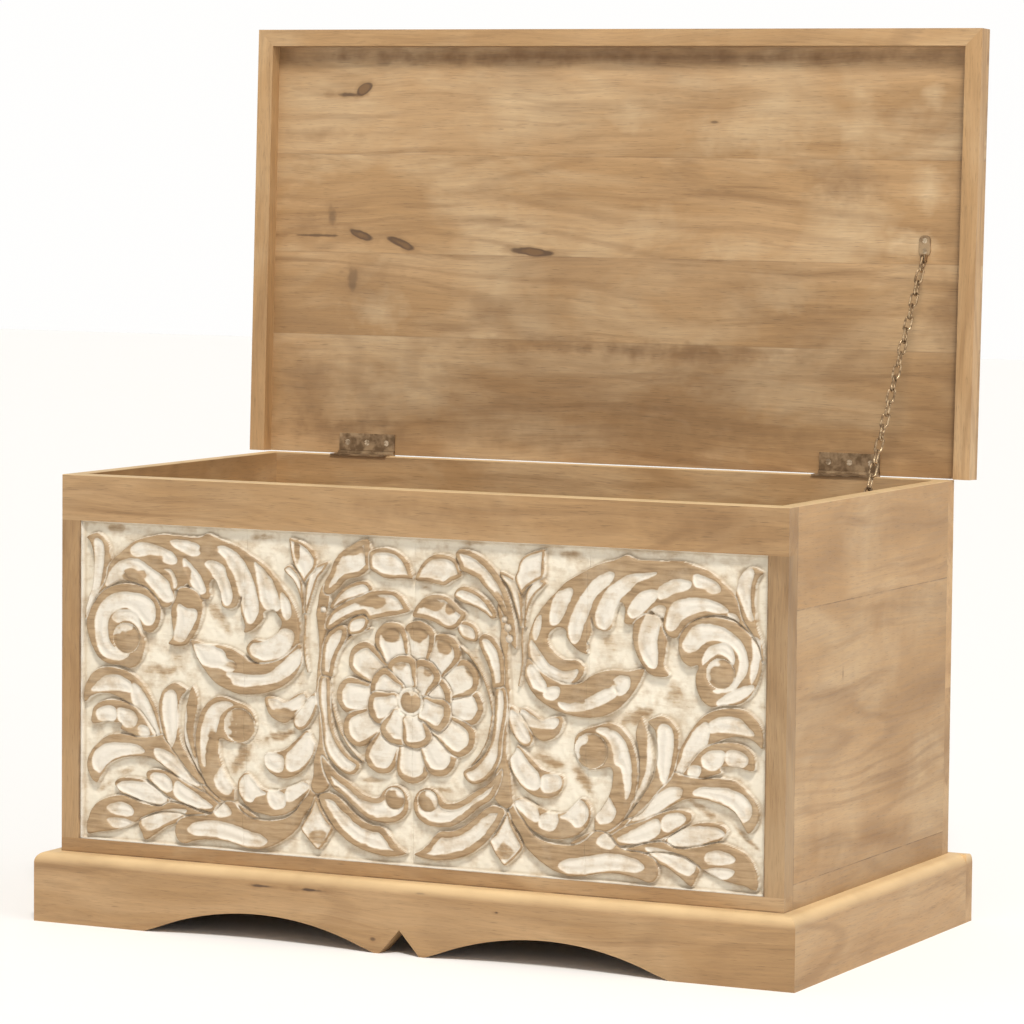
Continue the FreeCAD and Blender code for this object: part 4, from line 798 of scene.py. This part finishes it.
class Relief:
    def __init__(self, look):
        self.look = look
        self.x = np.arange(look["left"], look["right"] + 1.0)
        self.z = np.arange(look["low"], look["high"] + 1.0)
        shape = (len(self.z), len(self.x))
        self.height = rippled(np.full(shape, -float(look["sunk"])), look["groundWaves"])
        self.bare = np.zeros(shape)
        self.wobble = rippled(np.zeros(shape), look["wobble"])

    def window(self, line, margin):
        low, high = line.min(0) - margin, line.max(0) + margin
        i0, i1 = np.searchsorted(self.x, (low[0], high[0]))
        k0, k1 = np.searchsorted(self.z, (low[1], high[1]))
        return (slice(k0, k1), slice(i0, i1)), self.x[None, i0:i1], self.z[k0:k1, None]

    def around(self, cx, cz, rx, rz, margin):
        return self.window(np.array([(cx - rx, cz - rz), (cx + rx, cz + rz)], float), margin)

    def fromEdge(self, loop, x, z):
        best = np.full(np.broadcast(x, z).shape, 1e9)
        inside = np.zeros(best.shape, bool)
        for (ax, az), (bx, bz) in zip(loop, np.roll(loop, -1, 0)):
            dx, dz = bx - ax, bz - az
            t = shareAlong(x, z, (ax, az), (dx, dz))
            best = np.minimum(best, (x - ax - t * dx) ** 2 + (z - az - t * dz) ** 2)
            if az != bz:
                inside ^= ((az > z) != (bz > z)) & (x < ax + dx * (z - az) / dz)
        return np.where(inside, 1, -1) * np.sqrt(best)

    def fromLine(self, line, wide, thin, x, z):
        best = np.full(np.broadcast(x, z).shape, -1e9)
        half = np.linspace(wide, thin, len(line)) / 2
        for (ax, az), (bx, bz), h0, h1 in zip(line[:-1], line[1:], half[:-1], half[1:]):
            dx, dz = bx - ax, bz - az
            t = shareAlong(x, z, (ax, az), (dx, dz))
            best = np.maximum(best, h0 + (h1 - h0) * t - np.hypot(x - ax - t * dx, z - az - t * dz))
        return best

    def lay(self, view, d, rim, top=0.0, spread=1.0):
        look, old, wobble = self.look, self.height[view], self.wobble[view]
        d = d + wobble * 0.6
        shoulder = np.sqrt(1 - (1 - np.clip(d / look["wall"], 0, 1)) ** 2)
        new = -look["sunk"] + (look["sunk"] + top) * shoulder
        new = np.where(d < look["wall"], np.maximum(new, old - look["overlap"]), new)
        bare = ease((d - 0.3 - 0.5 * wobble) / 1.2)
        if rim:  # the leaf's hollow and its whitewash begin inside a bare rim
            wide = rim * look["rimScale"] * spread * (1 + 0.22 * wobble)
            hollow = ease((d - wide + 1.0) / 3.5)
            new = new - look["scoop"] * hollow + look["crown"] * ease((d - wide - 4) / 6)
            bare = bare * (1 - ease((d - wide + 1.4) / 2.8))
        deep, broad = look["leafGroove"]
        groove = np.where((d <= 0) & (old > -look["sunk"] + 2), deep * np.exp(-(d / broad) ** 2), 0)
        self.height[view] = np.where(d > 0, new, old - groove)
        self.bare[view] = np.where(d > 0, bare, self.bare[view] * (1 - np.exp(-d ** 2)))

    def leaf(self, rim, points, top=0.0, fan=None):
        loop = roundedLine(points)
        view, x, z = self.window(loop, 4)
        spread = 1.0
        if fan:  # a petal's rim is thin at its foot and wide at its tip
            (cx, cz), foot, tip = fan
            spread = 0.25 + 0.85 * ease((np.hypot(x - cx, z - cz) - foot) / (tip - foot))
        self.lay(view, self.fromEdge(loop, x, z), rim, top, spread)

    def scoopOut(self, points):
        loop = roundedLine(points)
        view, x, z = self.window(loop, 4)
        d = self.fromEdge(loop, x, z) + 0.6 * self.wobble[view] + 1.4
        look = self.look
        hollow = look["scoop"] * ease((d + 1.0) / 4.5) - look["crown"] * ease((d - 5) / 5)
        self.height[view] = self.height[view] - np.where(d > -1, hollow, 0)
        self.bare[view] = self.bare[view] * (1 - ease((d + 0.8) / 2.6))

    def ridge(self, wide, thin, points):
        line = roundedLine(points, closed=False)
        view, x, z = self.window(line, 14)
        self.lay(view, self.fromLine(line, wide, thin, x, z), 0)

    def boss(self, cx, cz, radius, bare, keptSide):
        look = self.look
        view, x, z = self.around(cx, cz, 0, 0, radius + 3)
        away = np.hypot(x - cx, z - cz)
        old = self.height[view]
        bulge = np.sqrt(np.clip(1 - (away / radius) ** 2.6, 0, 1))
        dome = -look["sunk"] + (look["sunk"] - look["bossDrop"]) * bulge
        dome = np.maximum(dome, old - look["bossOverlap"])
        deep, broad = look["bossGroove"]
        groove = np.where(away >= radius, deep * np.exp(-((away - radius) / broad) ** 2), 0)
        self.height[view] = np.where(away < radius, dome, old - groove)
        turn = math.radians(keptSide)
        kept = ((x - cx) * math.cos(turn) + (z - cz) * math.sin(turn)) / radius + 0.35 * self.wobble[view]
        painted = bare * ease((radius - away) / 2) * (1 - 0.9 * ease((kept - 0.25) / 0.4))
        self.bare[view] = np.where(away < radius, painted, self.bare[view])

    def scuff(self, cx, cz, long, short, turn, strength):
        view, x, z = self.around(cx, cz, long, long, 4)
        c, s = math.cos(math.radians(turn)), math.sin(math.radians(turn))
        onLine, across = (x - cx) * c + (z - cz) * s, (z - cz) * c - (x - cx) * s
        away = np.hypot(onLine / long, across / short) + 0.3 * self.wobble[view]
        patch = strength * ease((1.2 - away) / 0.9) * (self.height[view] < -self.look["sunk"] + 1.5)
        self.bare[view] = np.maximum(self.bare[view], patch)

    def rub(self, cx, cz, rx, rz, strength):
        view, x, z = self.around(cx, cz, rx, rz, 4)
        away = np.hypot((x - cx) / rx, (z - cz) / rz) + 0.25 * self.wobble[view]
        patch = strength * ease((1.15 - away) / 0.4) * (self.height[view] > -4)
        self.bare[view] = np.maximum(self.bare[view], patch)


def carveRelief(look):
    relief = Relief(look)
    for points in leftMasses.values():
        relief.leaf(0, points)
        relief.leaf(0, mirrored(points))
    for points in leftScoops.values():
        relief.scoopOut(points)
    for name in {**leftScoops, **rightScoops}:
        relief.scoopOut(rightScoops[name] if name in rightScoops else mirrored(leftScoops[name]))
    for ridge in ridges:
        relief.ridge(*ridge)
    for name, (rim, points) in centreLeft.items():
        relief.leaf(rim, points)
        if name not in centreRight:
            relief.leaf(rim, mirrored(points))
    for rim, points in centreRight.values():
        relief.leaf(rim, points)
    for kind in ("outer", "inner"):
        foot, tip, wide = (rosette[kind + part] for part in ("Foot", "Tips", "Wide"))
        for n, turn in enumerate(rosette[kind + "Turns"]):  # every second outer petal lies deeper
            drop = -look["petalDrop"] * (n % 2) if kind == "outer" else 0
            fan = (rosette["centre"], foot, tip)
            relief.leaf(rosette[kind + "Rim"], petal(turn, foot, tip, wide), drop, fan)
    for boss in bosses:
        relief.boss(*boss)
    for patch in rubbed:
        relief.rub(*patch)
    for patch in scuffs:
        relief.scuff(*patch)
    relief.height = np.minimum(rippled(relief.height, look["toolMarks"]), look["highest"])
    edge = np.minimum(np.minimum(relief.x - look["left"], look["right"] - relief.x)[None, :],
                      np.minimum(relief.z - look["low"], look["high"] - relief.z)[:, None])
    fade = ease(edge / look["borderFade"]) ** 0.5
    relief.height = relief.height * fade + look["border"] * (1 - fade)
    # painted shade: the paint is darkened where the surface lies below its smoothed surroundings, in the
    # recesses and at the foot of the walls
    sunken = smoothed(relief.height, look["dirtReach"]) - relief.height
    relief.dirt = ease((sunken - 0.4) / look["dirtDepth"])
    return relief


def stripMesh(name, relief, first, last, look):
    y = look["front"] - relief.height[:, first:last]
    rows, columns = y.shape
    x, z = np.meshgrid(relief.x[first:last], relief.z)
    front = np.stack([x, y, z], -1).reshape(-1, 3)
    at = np.arange(rows * columns).reshape(rows, columns)
    rim = np.concatenate([at[0, :-1], at[:-1, -1], at[-1, :0:-1], at[:0:-1, 0]])
    back = front[rim].copy()
    back[:, 1] = look["back"]
    points = np.vstack([front, back]) / 1000
    quads = np.stack([at[:-1, :-1], at[:-1, 1:], at[1:, 1:], at[1:, :-1]], -1).reshape(-1, 4)
    under = rows * columns + np.arange(len(rim))
    sides = np.stack([rim, under, np.roll(under, -1), np.roll(rim, -1)], -1)
    faces = quads.tolist() + sides.tolist() + [under[::-1].tolist()]
    mesh = bpy.data.meshes.new(name)
    mesh.from_pydata(points.tolist(), [], faces)
    smooth = np.zeros(len(faces), bool)
    smooth[:len(quads)] = True
    mesh.polygons.foreach_set("use_smooth", smooth)
    # bare-wood mask and painted recess shade, stored on each point
    for kind, field, behind in (("bare", relief.bare, 1.0), ("dirt", relief.dirt, 0.0)):
        values = np.full(len(points), behind, np.float32)  # the panel's back is bare wood
        values[:rows * columns] = field[:, first:last].reshape(-1)
        mesh.attributes.new(kind, "FLOAT", "POINT").data.foreach_set("value", values)
    mesh.update()
    piece = bpy.data.objects.new(name, mesh)
    bpy.context.scene.collection.objects.link(piece)
    return piece


whitewash = {"ground": (0.75, 0.68, 0.55), "hollow": (0.70, 0.64, 0.545), "tint": (0.50, 0.385, 0.255),
             "wood": ((0.220, 0.136, 0.062), (0.335, 0.215, 0.107), (0.42, 0.287, 0.155)),
             # the first colour below is the brown of the painted shade in the recesses
             "dirt": (0.36, 0.25, 0.145), "depths": (-0.2475, -0.2425), "coarseSize": 42.0,
             "fineSize": 320.0, "streakScale": (60, 60, 340), "fibreScale": (34, 34, 330), "filmSize": 26.0,
             "filmDepth": 0.50, "edgeDepth": 0.75, "scuffDepth": 0.7, "dirtDepth": 0.5, "wornDepth": 0.95}


def whitewashFinish(look):
    w = Finish("whitewashedCarving")
    place = w.add("ShaderNodeTexCoord", 3)
    bare = w.add("ShaderNodeAttribute", 2, {"attribute_name": "bare"})
    dirt = w.add("ShaderNodeAttribute", 2, {"attribute_name": "dirt"})
    depth = w.span(w.add("ShaderNodeSeparateXYZ", 1, None, Vector=place), *look["depths"])
    coarse = w.noise(place, look["coarseSize"], 4.0, 0.62)
    fine = w.noise(place, look["fineSize"], 3.0, 0.6)
    streak = w.noise(w.stretch(place, look["streakScale"]), 1.0, 3.0, 0.6)
    mask = w.maths("ADD", bare, w.times(w.maths("SUBTRACT", coarse, 0.5), 0.9))
    mask = w.maths("ADD", mask, w.times(w.maths("SUBTRACT", streak, 0.5), 0.7))
    worn, edge = w.span(mask, 0.34, 0.66), w.span(mask, -0.02, 0.42)
    fibre = w.noise(w.stretch(place, look["fibreScale"]), 1.0, 4.0)
    wood = w.ramp(fibre, list(zip((0.30, 0.50, 0.70), look["wood"])))
    film = w.noise(w.stretch(place, (1, 1, 1), (2.1, 0.7, 1.3)), look["filmSize"], 5.0, 0.65)
    film = w.span(film, 0.50, 0.72, 0.0, look["filmDepth"])
    wood = w.blend(film, wood, look["tint"])  # thin whitewash left in the bare wood
    paint = w.blend(depth, look["hollow"], look["ground"])
    paint = w.blend(w.span(fine, 0.35, 0.7, 0.0, 0.25), paint, look["hollow"])
    paint = w.blend(w.span(coarse, 0.48, 0.70, 0.0, 0.60), paint, look["tint"])
    paint = w.stain(paint, edge, look["edgeDepth"], look["tint"])
    scuff = w.times(w.span(streak, 0.60, 0.70), w.span(coarse, 0.56, 0.66))
    paint = w.stain(paint, scuff, look["scuffDepth"], look["wood"][1])
    # painted shade in the recesses
    paint = w.stain(paint, dirt, look["dirtDepth"], look["dirt"])
    colour = w.stain(paint, worn, look["wornDepth"], wood)
    w.bump(w.maths("ADD", fine, w.times(streak, 0.8)), 0.45, 0.0005)
    return w.give(Base_Color=colour, Roughness=w.span(worn, 0.0, 1.0, 0.82, 0.6))


relief = carveRelief(carving)
extent = (round(float(relief.height.max()), 2), round(float(relief.height.min()), 2))
print("relief carved, highest", extent[0], "lowest", extent[1])
whitewashed = whitewashFinish(whitewash)
cuts = np.linspace(0, len(relief.x) - 1, carving["strips"] + 1).astype(int)
for number, (first, last) in enumerate(zip(cuts[:-1], cuts[1:])):
    strip = stripMesh("carved_panel_strip_%d" % (number + 1), relief, first, last + 1, carving)
    strip.data.materials.append(whitewashed)
    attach(strip, "chest")
    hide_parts("carved_panel")
print("carved panel made in", carving["strips"], "strips")
